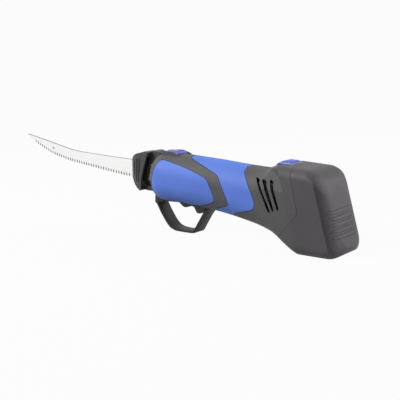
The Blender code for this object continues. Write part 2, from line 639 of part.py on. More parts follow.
def build_switch(materials):
    """The lock-off slider on the barrel's top, and the raised bezel that it runs in."""
    middle = 0.5 * (SLIDER_FRONT + SLIDER_REAR)
    half_length = 0.5 * (SLIDER_REAR - SLIDER_FRONT)
    rings = []
    for height, shrink in ((0.0200, 0.0), (SLIDER_TOP - 0.0022, 0.0), (SLIDER_TOP - 0.0010, 0.0012),
                           (SLIDER_TOP - 0.0003, 0.0030), (SLIDER_TOP, 0.0055)):
        oval = []
        for t in np.linspace(0, 2 * math.pi, 28, endpoint=False) + math.pi / 28:
            c = abs(math.cos(t)) ** 0.8 * math.copysign(1, math.cos(t))
            s = abs(math.sin(t)) ** 0.8 * math.copysign(1, math.sin(t))
            oval.append((middle + (half_length - shrink) * c, (SLIDER_HALF_WIDTH - shrink) * s, height))
        rings.append(oval)
    cap = cut(loft(rings), body_solid(-GAP))
    under = SLIDER_FRONT + 0.0055
    crown = TOP_LINE(under + SLIDER_TRAVEL) + TOP_CROWN + GAP
    cut(cap, block(SLIDER_FRONT - GAP, under, -0.0200, 0.0200, 0.0150, crown))
    stem = 0.5 * SLIDER_HALF_WIDTH - SLIDE_GAP
    join(cap, block(*SLIDER_STEM, -stem, stem, 0.0180, 0.0255))
    join(cap, block(*SLIDER_FOOT, -0.0052, 0.0052, 0.0170, 0.0196))
    cut(cap, cross_rod(SLIDER_REAR - 0.0060, SLIDER_TOP + 0.0020, -0.0200, 0.0200, 0.0032, 12))
    piece(cap, "lock_off_slider", materials["blue"])
    wide = BEZEL_HALF_WIDTH
    outer = rounded([(BEZEL_FRONT + 0.0020, -wide), (BEZEL_REAR + 0.0100, -wide),
                     (BEZEL_REAR + 0.0100, wide), (BEZEL_FRONT + 0.0020, wide), (BEZEL_FRONT, 0.0)], 0.0040)
    half = SLIDER_HALF_WIDTH + SLIDE_GAP
    window = rounded([(SLIDER_FRONT - SLIDE_GAP, -half), (0.0600, -half), (0.0600, half),
                      (SLIDER_FRONT - SLIDE_GAP, half)], 0.0030)
    bezel = keep(plan_prism(outer, 0.0160, 0.0290), side_prism(BEZEL_SIDE, -0.0200, 0.0200))
    cut(bezel, body_solid(-GAP))
    cut(bezel, plan_prism(window, 0.0100, 0.0300))
    piece(bezel, "switch_bezel", materials["housing"])


def blade_columns():
    """Places along the blade, each with the height that the edge is cut up by a tooth gap."""
    columns = [(BLADE_TIP, 0.0), (BLADE_TIP + 0.0030, 0.0), (BLADE_TIP + 0.0090, 0.0)]
    for i in range(TEETH - 1, -1, -1):
        x = TEETH_REAR - i * TOOTH_PITCH
        columns += [(x - TOOTH_GULLET / 2, 0.0), (x, TOOTH_DEPTH), (x + TOOTH_GULLET / 2, 0.0)]
    columns += [(-0.0460, 0.0), (BLADE_REAR, 0.0)]
    return columns


def build_blade():
    """One toothed blade on the +Y side, flat inside and ground down to the edge outside."""
    inner = GAP / 2
    outer = inner + BLADE_THICKNESS
    rings = []
    for x, notch in blade_columns():
        top = SPINE_LINE(x)
        edge = EDGE_LINE(x)
        low = min(edge + notch, top - 0.0003)
        grind = min(edge + GRIND_HEIGHT, edge + 0.75 * (top - edge))
        grind = max(grind, low + 0.0001)
        rings.append([(x, inner, low), (x, outer, grind), (x, outer, top), (x, inner, top)])
    return loft(rings)


def build_blades(materials):
    """Two blades that slide on each other, held together by a headed rivet near the tip."""
    heel_out = CARRIER_INNER - SLIDE_GAP
    right = build_blade()
    heel_rear = BLADE_REAR - 0.0005
    join(right, block(heel_rear - HEEL_LENGTH, heel_rear, GAP, heel_out, HEEL_BOTTOM, HEEL_TOP))
    left = mirrored(right)
    rivet_z = 0.5 * (EDGE_LINE(RIVET_X) + SPINE_LINE(RIVET_X)) + 0.0012
    slot = []
    reach = 2 * STROKE_LIMIT + RIVET_RADIUS + GAP
    for side in (1, -1):
        for t in np.linspace(-math.pi / 2, math.pi / 2, 7):
            bore = RIVET_RADIUS + GAP
            along = reach - bore + bore * math.cos(t)
            slot.append((RIVET_X + side * along, rivet_z + side * bore * math.sin(t)))
    cut(right, side_prism(slot, -0.0050, 0.0050))
    cut(left, cross_rod(RIVET_X, rivet_z, -0.0050, 0.0050, RIVET_RADIUS + GAP, 12))
    piece(right, "blade_right", materials["blade"])
    piece(left, "blade_left", materials["blade"])
    face = GAP / 2 + BLADE_THICKNESS + GAP
    rivet = turned((RIVET_X, 0.0, rivet_z), (0, 1, 0), [
        (-face - 0.0005, 0.0014), (-face - 0.0002, 0.0018), (-face, 0.0018), (-face + 0.0001, RIVET_RADIUS),
        (face - 0.0001, RIVET_RADIUS), (face, 0.0018), (face + 0.0002, 0.0018), (face + 0.0005, 0.0014)])
    piece(rivet, "blade_rivet", materials["steel"])


def build_clip(materials):
    """The clip that carries both blades: two ribbed pads on a narrow core with its prongs."""
    plan = CLIP_PLAN + [(x, -y) for x, y in reversed(CLIP_PLAN)]
    clip = keep(side_prism(CLIP_SIDE, -0.0200, 0.0200), plan_prism(plan, -0.0400, 0.0400))
    places = [x for x, _ in CLIP_PLAN]
    widths = [y for _, y in CLIP_PLAN]
    inside = [(x, float(np.interp(x, places, widths)) - CLIP_WALL)
              for x in (CLIP_FRONT_WALL, -0.0260, -0.0200, 0.0)]
    cut(clip, plan_prism(inside + [(x, -y) for x, y in reversed(inside)], *CLIP_HOLLOW))
    for x, low, high in CLIP_GROOVES:
        depth = float(np.interp(x, places, widths)) - CLIP_GROOVE_DEPTH
        for y0, y1 in ((depth, 0.0200), (-0.0200, -depth)):
            cut(clip, block(x - CLIP_GROOVE_WIDTH / 2, x + CLIP_GROOVE_WIDTH / 2, y0, y1, low, high))
    join(clip, side_prism(CLIP_CORE, -CORE_HALF_WIDTH, CORE_HALF_WIDTH))
    for z0, z1 in TONGUES:
        join(clip, block(TONGUE_REAR, TONGUE_REACH, -TONGUE_HALF_WIDTH, TONGUE_HALF_WIDTH, z0, z1))
    cut(clip, blade_slot(-0.0500, 0.0))
    piece(clip, "blade_clip", materials["clip"])


def build_nose_cap(materials):
    """A plate in the nose that guides the blade tangs and takes the clip's prongs."""
    cap = keep(body_solid(HOUSING_WALL + GAP, fine=False),
               block(0.0, NOSE_CAP_REAR, -0.0300, 0.0300, -0.0300, 0.0300))
    join(cap, nose_opening(-GAP))
    keep(cap, block(0.0002, 0.0060, -0.0300, 0.0300, GUARD_TENON_TOP + GAP, 0.0300))
    cut(cap, blade_slot(-0.0100, 0.0200))
    heel = CARRIER_INNER
    cut(cap, block(-0.0100, 0.0200, -heel, heel, HEEL_BOTTOM - SLIDE_GAP, HEEL_TOP + SLIDE_GAP))
    tongue = TONGUE_HALF_WIDTH + GAP
    for z0, z1 in TONGUES:
        cut(cap, block(-0.0100, 0.0200, -tongue, tongue, z0 - GAP, z1 + GAP))
    piece(cap, "nose_cap", materials["clip"])


def build_drive(materials):
    """Worm wheel with two opposite eccentrics, axle, worm and motor."""
    pitch_radius = 0.5 * MODULE * WHEEL_TEETH
    worm_z = WHEEL_Z + pitch_radius + WORM_PITCH_RADIUS
    lead = math.pi * MODULE
    helix = lead / (2 * math.pi * WORM_PITCH_RADIUS)
    rings = []
    for y in (-WHEEL_HALF_WIDTH, WHEEL_HALF_WIDTH):
        outline = []
        for i in range(WHEEL_TEETH):
            centre = 2 * math.pi * i / WHEEL_TEETH + y * helix / pitch_radius
            for turn, radius in ((-0.075, pitch_radius - ROOT_DEPTH), (-0.037, pitch_radius + TOOTH_HEIGHT),
                                 (0.037, pitch_radius + TOOTH_HEIGHT), (0.075, pitch_radius - ROOT_DEPTH)):
                angle = centre + turn
                outline.append((WHEEL_X + radius * math.sin(angle), y, WHEEL_Z + radius * math.cos(angle)))
        rings.append(outline)
    wheel = loft(rings)
    for side in (1, -1):
        disc = cross_rod(WHEEL_X, WHEEL_Z + side * CRANK_OFFSET, side * (WHEEL_HALF_WIDTH - 0.0005),
                         side * (CARRIER_INNER + CARRIER_THICKNESS), CRANK_RADIUS, 28)
        join(wheel, disc)
    cut(wheel, cross_rod(WHEEL_X, WHEEL_Z, -0.0200, 0.0200, AXLE_RADIUS + GAP, 14))
    piece(wheel, "worm_wheel", materials["nylon"], (WHEEL_X, 0.0, WHEEL_Z))
    reach = FRAME_INNER + FRAME_PLATE
    piece(cross_rod(WHEEL_X, WHEEL_Z, -reach, reach, AXLE_RADIUS, 14), "wheel_axle", materials["steel"])

    root = WORM_PITCH_RADIUS - ROOT_DEPTH + 0.0001
    tip = WORM_PITCH_RADIUS + TOOTH_HEIGHT
    turns = 5
    ridge = []
    for k in range(turns * 10 + 1):
        angle = 2 * math.pi * k / 10
        x = WHEEL_X + lead / 2 - turns / 2 * lead + lead * k / 10
        around = Vector((0.0, math.cos(angle - math.pi / 2 - turns * math.pi),
                         math.sin(angle - math.pi / 2 - turns * math.pi)))
        ring = []
        for along, radius in ((-0.0008, root - 0.0003), (-0.0004, tip),
                              (0.0004, tip), (0.0008, root - 0.0003)):
            p = Vector((x + along, 0.0, worm_z)) + around * radius
            ring.append(tuple(p))
        ridge.append(ring)
    worm = rod((WHEEL_X - 0.0100, 0.0, worm_z), (WHEEL_X + 0.0115, 0.0, worm_z), root, 12)
    join(worm, loft(ridge))
    cut(worm, rod((WHEEL_X - 0.0200, 0.0, worm_z), (WHEEL_X + 0.0200, 0.0, worm_z), SHAFT_RADIUS + GAP, 12))
    piece(worm, "worm", materials["brass"], (WHEEL_X, 0.0, worm_z))

    rear = MOTOR_FRONT + MOTOR_LENGTH
    wall = 0.0012
    can = rod((MOTOR_FRONT, 0.0, worm_z), (rear - 0.0030, 0.0, worm_z), MOTOR_RADIUS, 24)
    cut(can, rod((MOTOR_FRONT + 0.0020, 0.0, worm_z), (rear, 0.0, worm_z), MOTOR_RADIUS - wall, 24))
    cut(can, rod((MOTOR_FRONT - 0.0100, 0.0, worm_z), (rear, 0.0, worm_z), SHAFT_RADIUS + GAP, 12))
    piece(can, "motor_can", materials["steel"])
    cap = turned((rear - 0.0050, 0.0, worm_z), (1, 0, 0), [
        (0.0, MOTOR_RADIUS - wall - GAP), (0.0022, MOTOR_RADIUS - wall - GAP), (0.0023, MOTOR_RADIUS),
        (0.0050, MOTOR_RADIUS)], 24)
    cut(cap, rod((rear - 0.0100, 0.0, worm_z), (rear + 0.0100, 0.0, worm_z), SHAFT_RADIUS + GAP, 12))
    piece(cap, "motor_end_cap", materials["clip"])
    front = WHEEL_X - 0.0155
    core = turned((front, 0.0, worm_z), (1, 0, 0), [
        (0.0, SHAFT_RADIUS), (MOTOR_FRONT + 0.0040 - front, SHAFT_RADIUS),
        (MOTOR_FRONT + 0.0042 - front, 0.0088), (rear - 0.0072 - front, 0.0088),
        (rear - 0.0070 - front, SHAFT_RADIUS), (rear + 0.0010 - front, SHAFT_RADIUS)], 16)
    piece(core, "motor_rotor", materials["steel"], (WHEEL_X, 0.0, worm_z))
    for side, name in ((1, "motor_magnet_right"), (-1, "motor_magnet_left")):
        arc = []
        for radius, order in ((MOTOR_RADIUS - wall - GAP, 1), (0.0098, -1)):
            for t in np.linspace(-1.0, 1.0, 8)[::order]:
                arc.append((radius * math.sin(t), side * radius * math.cos(t)))
        ends = (MOTOR_FRONT + 0.0050, rear - 0.0080)
        magnet = loft([[(x, b, worm_z + a) for a, b in arc] for x in ends])
        piece(magnet, name, materials["magnet"])


def build_gear_frame(materials):
    """Two plates and two cross walls that hold the wheel's axle, the shaft and the motor."""
    pitch_radius = 0.5 * MODULE * WHEEL_TEETH
    worm_z = WHEEL_Z + pitch_radius + WORM_PITCH_RADIUS
    front = WHEEL_X - 0.0160
    rear = MOTOR_FRONT - GAP
    outer = FRAME_INNER + FRAME_PLATE
    frame = block(front, rear, FRAME_INNER, outer, -0.0170, 0.0100)
    join(frame, block(front, rear, -outer, -FRAME_INNER, -0.0170, 0.0100))
    join(frame, block(front, front + 0.0025, -outer + 0.0005, outer - 0.0005, 0.0004, 0.0100))
    join(frame, block(rear - 0.0025, rear, -outer + 0.0005, outer - 0.0005, -0.0165, 0.0100))
    for side in (1, -1):
        across = sorted((side * (outer - 0.0005), side * 0.0300))
        lug = keep(block(rear - 0.0060, rear, *across, -0.0040, 0.0040),
                   body_solid(HOUSING_WALL + GAP, fine=False))
        join(frame, lug)
    cut(frame, cross_rod(WHEEL_X, WHEEL_Z, -0.0200, 0.0200, AXLE_RADIUS + GAP, 14))
    cut(frame, rod((front - 0.0100, 0.0, worm_z), (rear + 0.0100, 0.0, worm_z), SHAFT_RADIUS + GAP, 14))
    piece(frame, "gear_frame", materials["nylon"])


def build_carriers(materials):
    """One carrier a side: a yoke round the eccentric, an arm, and a pocket for the blade's heel."""
    half_window = CRANK_RADIUS + SLIDE_GAP
    tall_window = CRANK_RADIUS + CRANK_OFFSET + GAP
    inner = CARRIER_INNER
    outer = CARRIER_INNER + CARRIER_THICKNESS
    carrier = block(WHEEL_X - half_window - 0.0022, WHEEL_X + half_window + 0.0022, inner, outer,
                    WHEEL_Z - tall_window - 0.0020, WHEEL_Z + tall_window + 0.0020)
    cut(carrier, block(WHEEL_X - half_window, WHEEL_X + half_window, 0.0, 0.0200,
                       WHEEL_Z - tall_window, WHEEL_Z + tall_window))
    join(carrier, block(0.0150, WHEEL_X - half_window - 0.0010, inner, outer, -0.0110, -0.0030))
    head = block(0.0075, 0.0240, inner, outer, -0.0095, 0.0040)
    cut(head, block(BLADE_REAR - 0.0200, BLADE_REAR - 0.0005 + GAP, 0.0, 0.0200,
                    HEEL_BOTTOM - GAP, HEEL_TOP + GAP))
    join(carrier, head)
    inner_lip = GAP / 2 + BLADE_THICKNESS + GAP
    join(carrier, block(BLADE_REAR + 0.0005, BLADE_REAR + 0.0035, inner_lip, outer - 0.0005, -0.0090, 0.0035))
    left = mirrored(carrier)
    piece(carrier, "carrier_right", materials["nylon"])
    piece(left, "carrier_left", materials["nylon"])


def build_guides(materials):
    """The cross bars that guide the carriers and hold the microswitch."""
    inner = CARRIER_INNER - SLIDE_GAP
    outer = CARRIER_INNER + CARRIER_THICKNESS + SLIDE_GAP
    guide = block(0.0275, 0.0325, -0.0300, 0.0300, -0.0136, -0.0004)
    for side in (1, -1):
        cut(guide, block(0.0200, 0.0400, *sorted((side * inner, side * outer)), -0.0110 - SLIDE_GAP,
                         -0.0030 + SLIDE_GAP))
    keep(guide, body_solid(HOUSING_WALL + GAP, fine=False))
    piece(guide, "carrier_guide", materials["nylon"])
    cradle = block(0.0430, 0.0480, -0.0300, 0.0300, -0.0024, 0.0015)
    keep(cradle, body_solid(HOUSING_WALL + GAP, fine=False))
    join(cradle, block(0.0400, 0.0620, -0.0034, 0.0034, -0.0024, 0.0015))
    join(cradle, rod((SPRING_X, 0.0, -0.0020), (SPRING_X, 0.0, SPRING_TOP), 0.0033, 16))
    piece(cradle, "switch_cradle", materials["nylon"])
    switch = block(0.0395, 0.0545, -0.0032, 0.0032, -0.0105, -0.0027)
    join(switch, block(0.0490, 0.0510, -0.0015, 0.0015, -0.0121, -0.0100))
    piece(switch, "microswitch", materials["clip"])


def coil(x, z0, z1, radius, wire, turns):
    """A closed tube wound as a compression spring along Z."""
    steps = turns * 8
    rings = []
    for k in range(steps + 1):
        angle = 2 * math.pi * k / 8
        centre = Vector((x + radius * math.cos(angle), radius * math.sin(angle), z0 + (z1 - z0) * k / steps))
        out = Vector((math.cos(angle), math.sin(angle), 0.0))
        rings.append([tuple(centre + out * wire * math.cos(t) + Vector((0.0, 0.0, wire * math.sin(t))))
                      for t in np.linspace(0, 2 * math.pi, 5, endpoint=False)])
    return loft(rings)


def build_trigger(materials):
    """The two-bump trigger, its pin and its return spring."""
    px, pz = TRIGGER_PIVOT
    trigger = side_prism(TRIGGER_SIDE, -TRIGGER_HALF_WIDTH, TRIGGER_HALF_WIDTH)
    cut(trigger, cross_rod(px, pz, -0.0200, 0.0200, TRIGGER_PIN_RADIUS + GAP, 14))
    piece(trigger, "trigger", materials["clip"], (px, 0.0, pz))
    pin = keep(cross_rod(px, pz, -0.0300, 0.0300, TRIGGER_PIN_RADIUS, 14),
               body_solid(HOUSING_WALL + GAP, fine=False))
    piece(pin, "trigger_pin", materials["steel"])
    spring = coil(SPRING_X, SPRING_SEAT + 0.0003, SPRING_TOP - 0.0007, 0.0024, 0.0003, 4)
    piece(spring, "trigger_spring", materials["steel"])


def build_release(materials):
    """The battery release button on the hump, its spring and the bracket below."""
    front = RELEASE_FRONT
    rear = RELEASE_REAR
    top = RELEASE_TOP
    low = RELEASE_BOTTOM
    side = [(front, low), (front, 0.0290), (front + 0.0025, 0.0313), (front + 0.0060, top - 0.0004),
            (front + 0.0090, top), (rear - 0.0030, top - 0.0006), (rear, 0.0316), (rear, low)]
    button = side_prism(side, -RELEASE_HALF_WIDTH, RELEASE_HALF_WIDTH)
    half = RELEASE_HALF_WIDTH
    crown = [(-half, 0.0200), (half, 0.0200), (half, top - 0.0022), (half - 0.0015, top - 0.0009),
             (half - 0.0045, top - 0.0002), (0.0, top + 0.0002), (0.0045 - half, top - 0.0002),
             (0.0015 - half, top - 0.0009), (-half, top - 0.0022)]
    keep(button, loft([[(x, y, z) for y, z in crown] for x in (0.1400, 0.1900)]))
    join(button, block(rear - 0.0040, RELEASE_TONGUE, -0.0050, 0.0050, low, low + 0.0020))
    piece(button, "battery_release", materials["blue"])
    bracket_top = BRACKET_BOTTOM + BRACKET_THICKNESS
    bracket = keep(block(front - 0.0010, rear + 0.0010, -0.0300, 0.0300, BRACKET_BOTTOM, bracket_top),
                   body_solid(HOUSING_WALL + GAP, fine=False))
    piece(bracket, "release_bracket", materials["nylon"])
    middle = 0.5 * (front + rear)
    spring = coil(middle, bracket_top + 0.0006, low - 0.0006, 0.0035, 0.0003, 4)
    piece(spring, "release_spring", materials["steel"])


def leaning_slab(x0, x1, z0, z1, half_width):
    """A slab that leans with the rear of the battery, measured from the cells' axes."""
    lean = math.tan(REAR_LEAN)
    outline = [(CELL_X + x - z * lean, z) for x, z in ((x0, z0), (x1, z0), (x1, z1), (x0, z1))]
    return side_prism(outline, -half_width, half_width)


def build_battery(materials):
    """Battery case, front cover with its socket, cells, board and contacts."""
    case = keep(outer_form(), behind_parting(GAP / 2))
    cut(case, keep(body_solid(BATTERY_WALL, fine=False), behind_parting(-0.0100)))
    piece(case, "battery_case", materials["housing"])
    cover = keep(body_solid(BATTERY_WALL + GAP, fine=False), behind_parting(GAP / 2))
    cut(cover, behind_parting(GAP / 2 + COVER_THICKNESS))
    join(cover, cut(block(0.1735, 0.1880, -0.0095, 0.0095, -0.0050, 0.0110),
                    behind_parting(GAP / 2 + COVER_THICKNESS - 0.0001)))
    for y in CONTACT_ROWS:
        cut(cover, block(0.1700, 0.1835, y - 0.0009, y + 0.0009, -0.0020, 0.0080))
    piece(cover, "battery_front_cover", materials["clip"])
    half_height = HOLDER_HEIGHT / 2
    holder = leaning_slab(-HOLDER_FRONT, 0.0300, CELL_Z - half_height, CELL_Z + half_height, 0.0400)
    keep(holder, body_solid(BATTERY_WALL + GAP, fine=False))
    for side, name in ((1, "battery_cell_right"), (-1, "battery_cell_left")):
        middle = Vector((CELL_X - CELL_Z * math.tan(REAR_LEAN), side * CELL_SPACING / 2, CELL_Z))
        half = Vector((-math.sin(REAR_LEAN), 0.0, math.cos(REAR_LEAN))) * (CELL_LENGTH / 2)
        piece(rod(middle - half, middle + half, CELL_RADIUS), name, materials["cell"])
        cut(holder, rod(middle - half, middle + half, CELL_RADIUS + GAP))
    piece(holder, "cell_holder", materials["nylon"])
    back = -HOLDER_FRONT - GAP
    board = leaning_slab(back - BOARD_THICKNESS, back, -0.0120, -0.0032, 0.0150)
    piece(board, "protection_board", materials["board"])


def build_electrics(materials):
    """Control board and the terminal block with its three contacts."""
    board = keep(block(0.1420, 0.1600, -0.0300, 0.0300, -0.0140, -0.0124),
                 body_solid(HOUSING_WALL + GAP, fine=False))
    piece(board, "control_board", materials["board"])
    terminal = keep(block(0.1630, 0.1700, -0.0300, 0.0300, -0.0060, 0.0120),
                    body_solid(HOUSING_WALL + GAP, fine=False))
    for y in CONTACT_ROWS:
        cut(terminal, block(0.1600, 0.1720, y - 0.0007, y + 0.0007, 0.0002, 0.0058))
    piece(terminal, "terminal_block", materials["clip"])
    for number, y in enumerate(CONTACT_ROWS, 1):
        contact = block(0.1610, 0.1805, y - 0.0004, y + 0.0004, 0.0005, 0.0055)
        piece(contact, f"terminal_contact_{number}", materials["brass"])


clear_scene()
MATERIALS = {
    "housing": make_material("grey_plastic", (0.070, 0.070, 0.072), 0.45),
    "blue": make_material("blue_grip", (0.050, 0.110, 0.560), 0.45),
    "clip": make_material("black_plastic", (0.020, 0.020, 0.021), 0.45),
    "blade": make_material("blade_steel", (0.72, 0.72, 0.72), 0.25, 1.0),
    "steel": make_material("steel", (0.50, 0.50, 0.50), 0.35, 1.0),
    "brass": make_material("brass", (0.70, 0.50, 0.20), 0.35, 1.0),
    "nylon": make_material("white_nylon", (0.75, 0.74, 0.70), 0.50),
    "magnet": make_material("magnet", (0.10, 0.10, 0.11), 0.60),
    "cell": make_material("cell_wrap", (0.10, 0.35, 0.25), 0.40),
    "board": make_material("circuit_board", (0.02, 0.18, 0.08), 0.50),
}

TOOL = bpy.data.objects.new("tilted_frame", None)
bpy.context.collection.objects.link(TOOL)

build_housing(MATERIALS)
build_screws(MATERIALS)
build_grips(MATERIALS)
build_guard(MATERIALS)
build_switch(MATERIALS)
build_blades(MATERIALS)
build_clip(MATERIALS)
build_nose_cap(MATERIALS)
build_drive(MATERIALS)
build_gear_frame(MATERIALS)
build_carriers(MATERIALS)
build_guides(MATERIALS)
build_trigger(MATERIALS)
build_release(MATERIALS)
build_battery(MATERIALS)
build_electrics(MATERIALS)

turn = Matrix.Rotation(FOOT_LEAN, 4, "Y")
foot = Vector((FOOT_MIDDLE, 0.0, foot_height(FOOT_MIDDLE)))
TOOL.matrix_world = turn @ Matrix.Translation(-foot)

for item in bpy.data.objects:
    if item.type == "MESH":
        print(item.name, len(item.data.polygons))
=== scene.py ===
# %% [markdown]
# # A cordless electric fillet knife
#
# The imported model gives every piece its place, its size and its motion. This lesson dresses it:
# the moulded shells, the soft blue panels and the ground blades are modelled again with finer
# curves, and every piece gets a material made of nodes. Lengths are in metres. The knife lies
# along X with the blade's tip at -X, and rests on its finger guard and on its battery.

# %% Load the frame
import math
from contextlib import contextmanager

import bmesh
import bpy
import numpy as np
from mathutils import Matrix, Vector


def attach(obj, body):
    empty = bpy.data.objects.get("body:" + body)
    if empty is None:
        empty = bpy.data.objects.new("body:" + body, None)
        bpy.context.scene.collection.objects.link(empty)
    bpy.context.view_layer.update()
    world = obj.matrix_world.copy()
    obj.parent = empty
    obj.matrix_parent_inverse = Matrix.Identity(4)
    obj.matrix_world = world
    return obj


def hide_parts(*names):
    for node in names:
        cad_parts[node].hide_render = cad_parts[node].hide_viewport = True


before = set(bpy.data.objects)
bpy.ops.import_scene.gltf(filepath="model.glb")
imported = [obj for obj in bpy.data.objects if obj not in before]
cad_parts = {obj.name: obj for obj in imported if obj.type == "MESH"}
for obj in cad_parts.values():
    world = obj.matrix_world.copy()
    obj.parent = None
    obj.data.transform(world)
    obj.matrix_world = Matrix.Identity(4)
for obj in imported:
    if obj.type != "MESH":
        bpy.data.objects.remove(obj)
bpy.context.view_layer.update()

# %% [markdown]
# ## The barrel's own axes
#
# On the bench the real knife rests nose up, so its barrel leans a few degrees. A leaning shape
# is awkward to model. It could be drawn level and turned at the end, and that is the way taken
# here: x = 0 is the front of the nose, z = 0 is the barrel's axis, and one matrix carries
# everything to its place.

# %% From the barrel's axes to the world
LEAN = math.radians(4.7)
FOOT_X = 0.1990
FOOT_Z = -0.041831
TILT = Matrix.Rotation(LEAN, 4, "Y") @ Matrix.Translation((-FOOT_X, 0.0, -FOOT_Z))


def from_barrel(x, y, z):
    """A point given along the barrel, in world coordinates."""
    return TILT @ Vector((x, y, z))


print("nose centre", from_barrel(0, 0, 0))

# %% [markdown]
# ## The camera
#
# The photograph looks at the knife's left side from behind the blade, from a little above. A
# camera could be aimed by eye. Here its place and its three directions come from the teeth of
# the blade, whose even spacing shrinks with distance, so it is set with a full matrix.

# %% Camera
CAMERA_PLACE = from_barrel(0.480347, -0.456781, 0.131139)
CAMERA_RIGHT = Vector((0.7314, 0.6820, 0.0))
CAMERA_UP = Vector((-0.1603, 0.1720, 0.9720))
CAMERA_LENS = 58.05


def add_object(name, data):
    item = bpy.data.objects.new(name, data)
    bpy.context.collection.objects.link(item)
    return item


def add_camera():
    data = bpy.data.cameras.new("camera")
    data.sensor_width = 36.0
    data.lens = CAMERA_LENS
    data.clip_start = 0.01
    camera = add_object("camera", data)
    turn = TILT.to_3x3()
    right = (turn @ CAMERA_RIGHT).normalized()
    up = (turn @ CAMERA_UP).normalized()
    back = right.cross(up).normalized()
    up = back.cross(right)
    pose = Matrix((right, up, back)).transposed().to_4x4()
    pose.translation = CAMERA_PLACE
    camera.matrix_world = pose
    bpy.context.scene.camera = camera
    return camera


camera = add_camera()
print("camera at", tuple(round(v, 4) for v in camera.location))

# %% [markdown]
# ## Floor, backdrop and light
#
# A product shot is taken on a white sweep under large soft lamps. A floor and a separate wall
# would show a line where they meet, so one curved sheet does both. Sheet and sky are drawn
# near white for the camera and for mirrors. That keeps the page white, the shadow soft and the
# steel bright, and no lamp is raised for it.

# %% Studio
SWEEP_HALF_WIDTH = 3.0
SWEEP_FRONT = -2.0
SWEEP_BEND = 1.2
SWEEP_RADIUS = 0.8
SWEEP_HEIGHT = 2.5
SWEEP_TURN = math.radians(43)
WHITE = (1.0, 1.0, 1.0, 1.0)
PAPER_GREY = (0.34, 0.34, 0.34, 1.0)
PAPER_SEEN = 0.96
SKY_LEVEL = 0.06
SKY_SEEN = 0.97
KNIFE_MIDDLE = (-0.15, 0.0, 0.04)
KNIFE_REAR = (0.0, 0.0, 0.04)


def wired(tree, kind, inputs, output=0, **settings):
    """Add a node, give its inputs their values or links, and return one of its outputs."""
    node = tree.nodes.new("ShaderNode" + kind)
    for name, value in settings.items():
        setattr(node, name, value)
    for name, value in inputs.items():
        if isinstance(value, bpy.types.NodeSocket):
            tree.links.new(value, node.inputs[name])
        else:
            node.inputs[name].default_value = value
    return node.outputs[output]


def seen_rays(tree):
    """One for what the camera and the mirrors see, nought for the rays that carry light."""
    path = tree.nodes.new("ShaderNodeLightPath").outputs
    seen = path["Is Camera Ray"]
    for kind in ("Is Glossy Ray", "Is Transmission Ray"):
        seen = wired(tree, "Math", {0: seen, 1: path[kind]}, operation="MAXIMUM")
    return seen


def lightened(material, share):
    """Mix a share of plain white into what the camera and the mirrors see of a material."""
    tree = material.node_tree
    glow = wired(tree, "Emission", {"Color": WHITE})
    amount = wired(tree, "Math", {0: seen_rays(tree), 1: share}, operation="MULTIPLY")
    plain = tree.nodes["Principled BSDF"].outputs[0]
    blend = wired(tree, "MixShader", {0: amount, 1: plain, 2: glow})
    tree.links.new(blend, tree.nodes["Material Output"].inputs["Surface"])


def add_sweep():
    profile = [(SWEEP_FRONT, 0.0), (SWEEP_BEND, 0.0)]
    for angle in np.linspace(0, 90, 17)[1:]:
        a = math.radians(angle)
        profile.append((SWEEP_BEND + SWEEP_RADIUS * math.sin(a),
                        SWEEP_RADIUS * (1 - math.cos(a))))
    profile.append((SWEEP_BEND + SWEEP_RADIUS, SWEEP_HEIGHT))
    turn = Matrix.Rotation(SWEEP_TURN, 4, "Z")
    verts = [turn @ Vector((x, y, z)) for y, z in profile
             for x in (-SWEEP_HALF_WIDTH, SWEEP_HALF_WIDTH)]
    faces = [(2 * i, 2 * i + 1, 2 * i + 3, 2 * i + 2) for i in range(len(profile) - 1)]
    mesh = bpy.data.meshes.new("sweep")
    mesh.from_pydata(verts, [], faces)
    mesh.shade_smooth()
    sweep = add_object("sweep", mesh)
    paper = bpy.data.materials.new("paper")
    paper.use_nodes = True
    shader = paper.node_tree.nodes["Principled BSDF"]
    shader.inputs["Base Color"].default_value = PAPER_GREY
    shader.inputs["Roughness"].default_value = 0.9
    lightened(paper, PAPER_SEEN)
    mesh.materials.append(paper)


def add_sky():
    world = bpy.data.worlds.new("studio")
    bpy.context.scene.world = world
    world.use_nodes = True
    tree = world.node_tree
    sky = tree.nodes["Background"]
    sky.inputs["Color"].default_value = WHITE
    levels = {"Value": seen_rays(tree), "To Min": SKY_LEVEL, "To Max": SKY_SEEN}
    tree.links.new(wired(tree, "MapRange", levels), sky.inputs["Strength"])


def add_softbox(name, place, target, width, height, power):
    data = bpy.data.lights.new(name, "AREA")
    data.shape = "RECTANGLE"
    data.size = width
    data.size_y = height
    data.energy = power
    lamp = add_object(name, data)
    lamp.location = place
    aim = Vector(target) - Vector(place)
    lamp.rotation_euler = aim.to_track_quat("-Z", "Y").to_euler()


add_sweep()
add_sky()
add_softbox("overhead_box", (-0.30, 0.10, 1.30), KNIFE_MIDDLE, 1.4, 0.6, 3.2)
add_softbox("left_box", (-0.85, -0.90, 0.95), KNIFE_MIDDLE, 0.8, 0.5, 26.0)
add_softbox("rear_box", (1.00, 0.90, 0.60), KNIFE_REAR, 0.5, 0.8, 20.5)
bpy.context.scene.view_settings.view_transform = "Standard"
print("studio ready")

# %% [markdown]
# ## Moulded plastic
#
# The shells of such a tool are spark-eroded ABS: a fine even grain, a satin gloss, and colour
# that drifts very slightly across a part. An image could paint this. Noise in object space does
# it without unwrapping, at true scale: a slow noise for the drift of the colour, and a fine one
# for the grain and the gloss.

# %% Makers of materials
GRAIN_SIZE = 0.00035
DRIFT_SIZE = 0.030


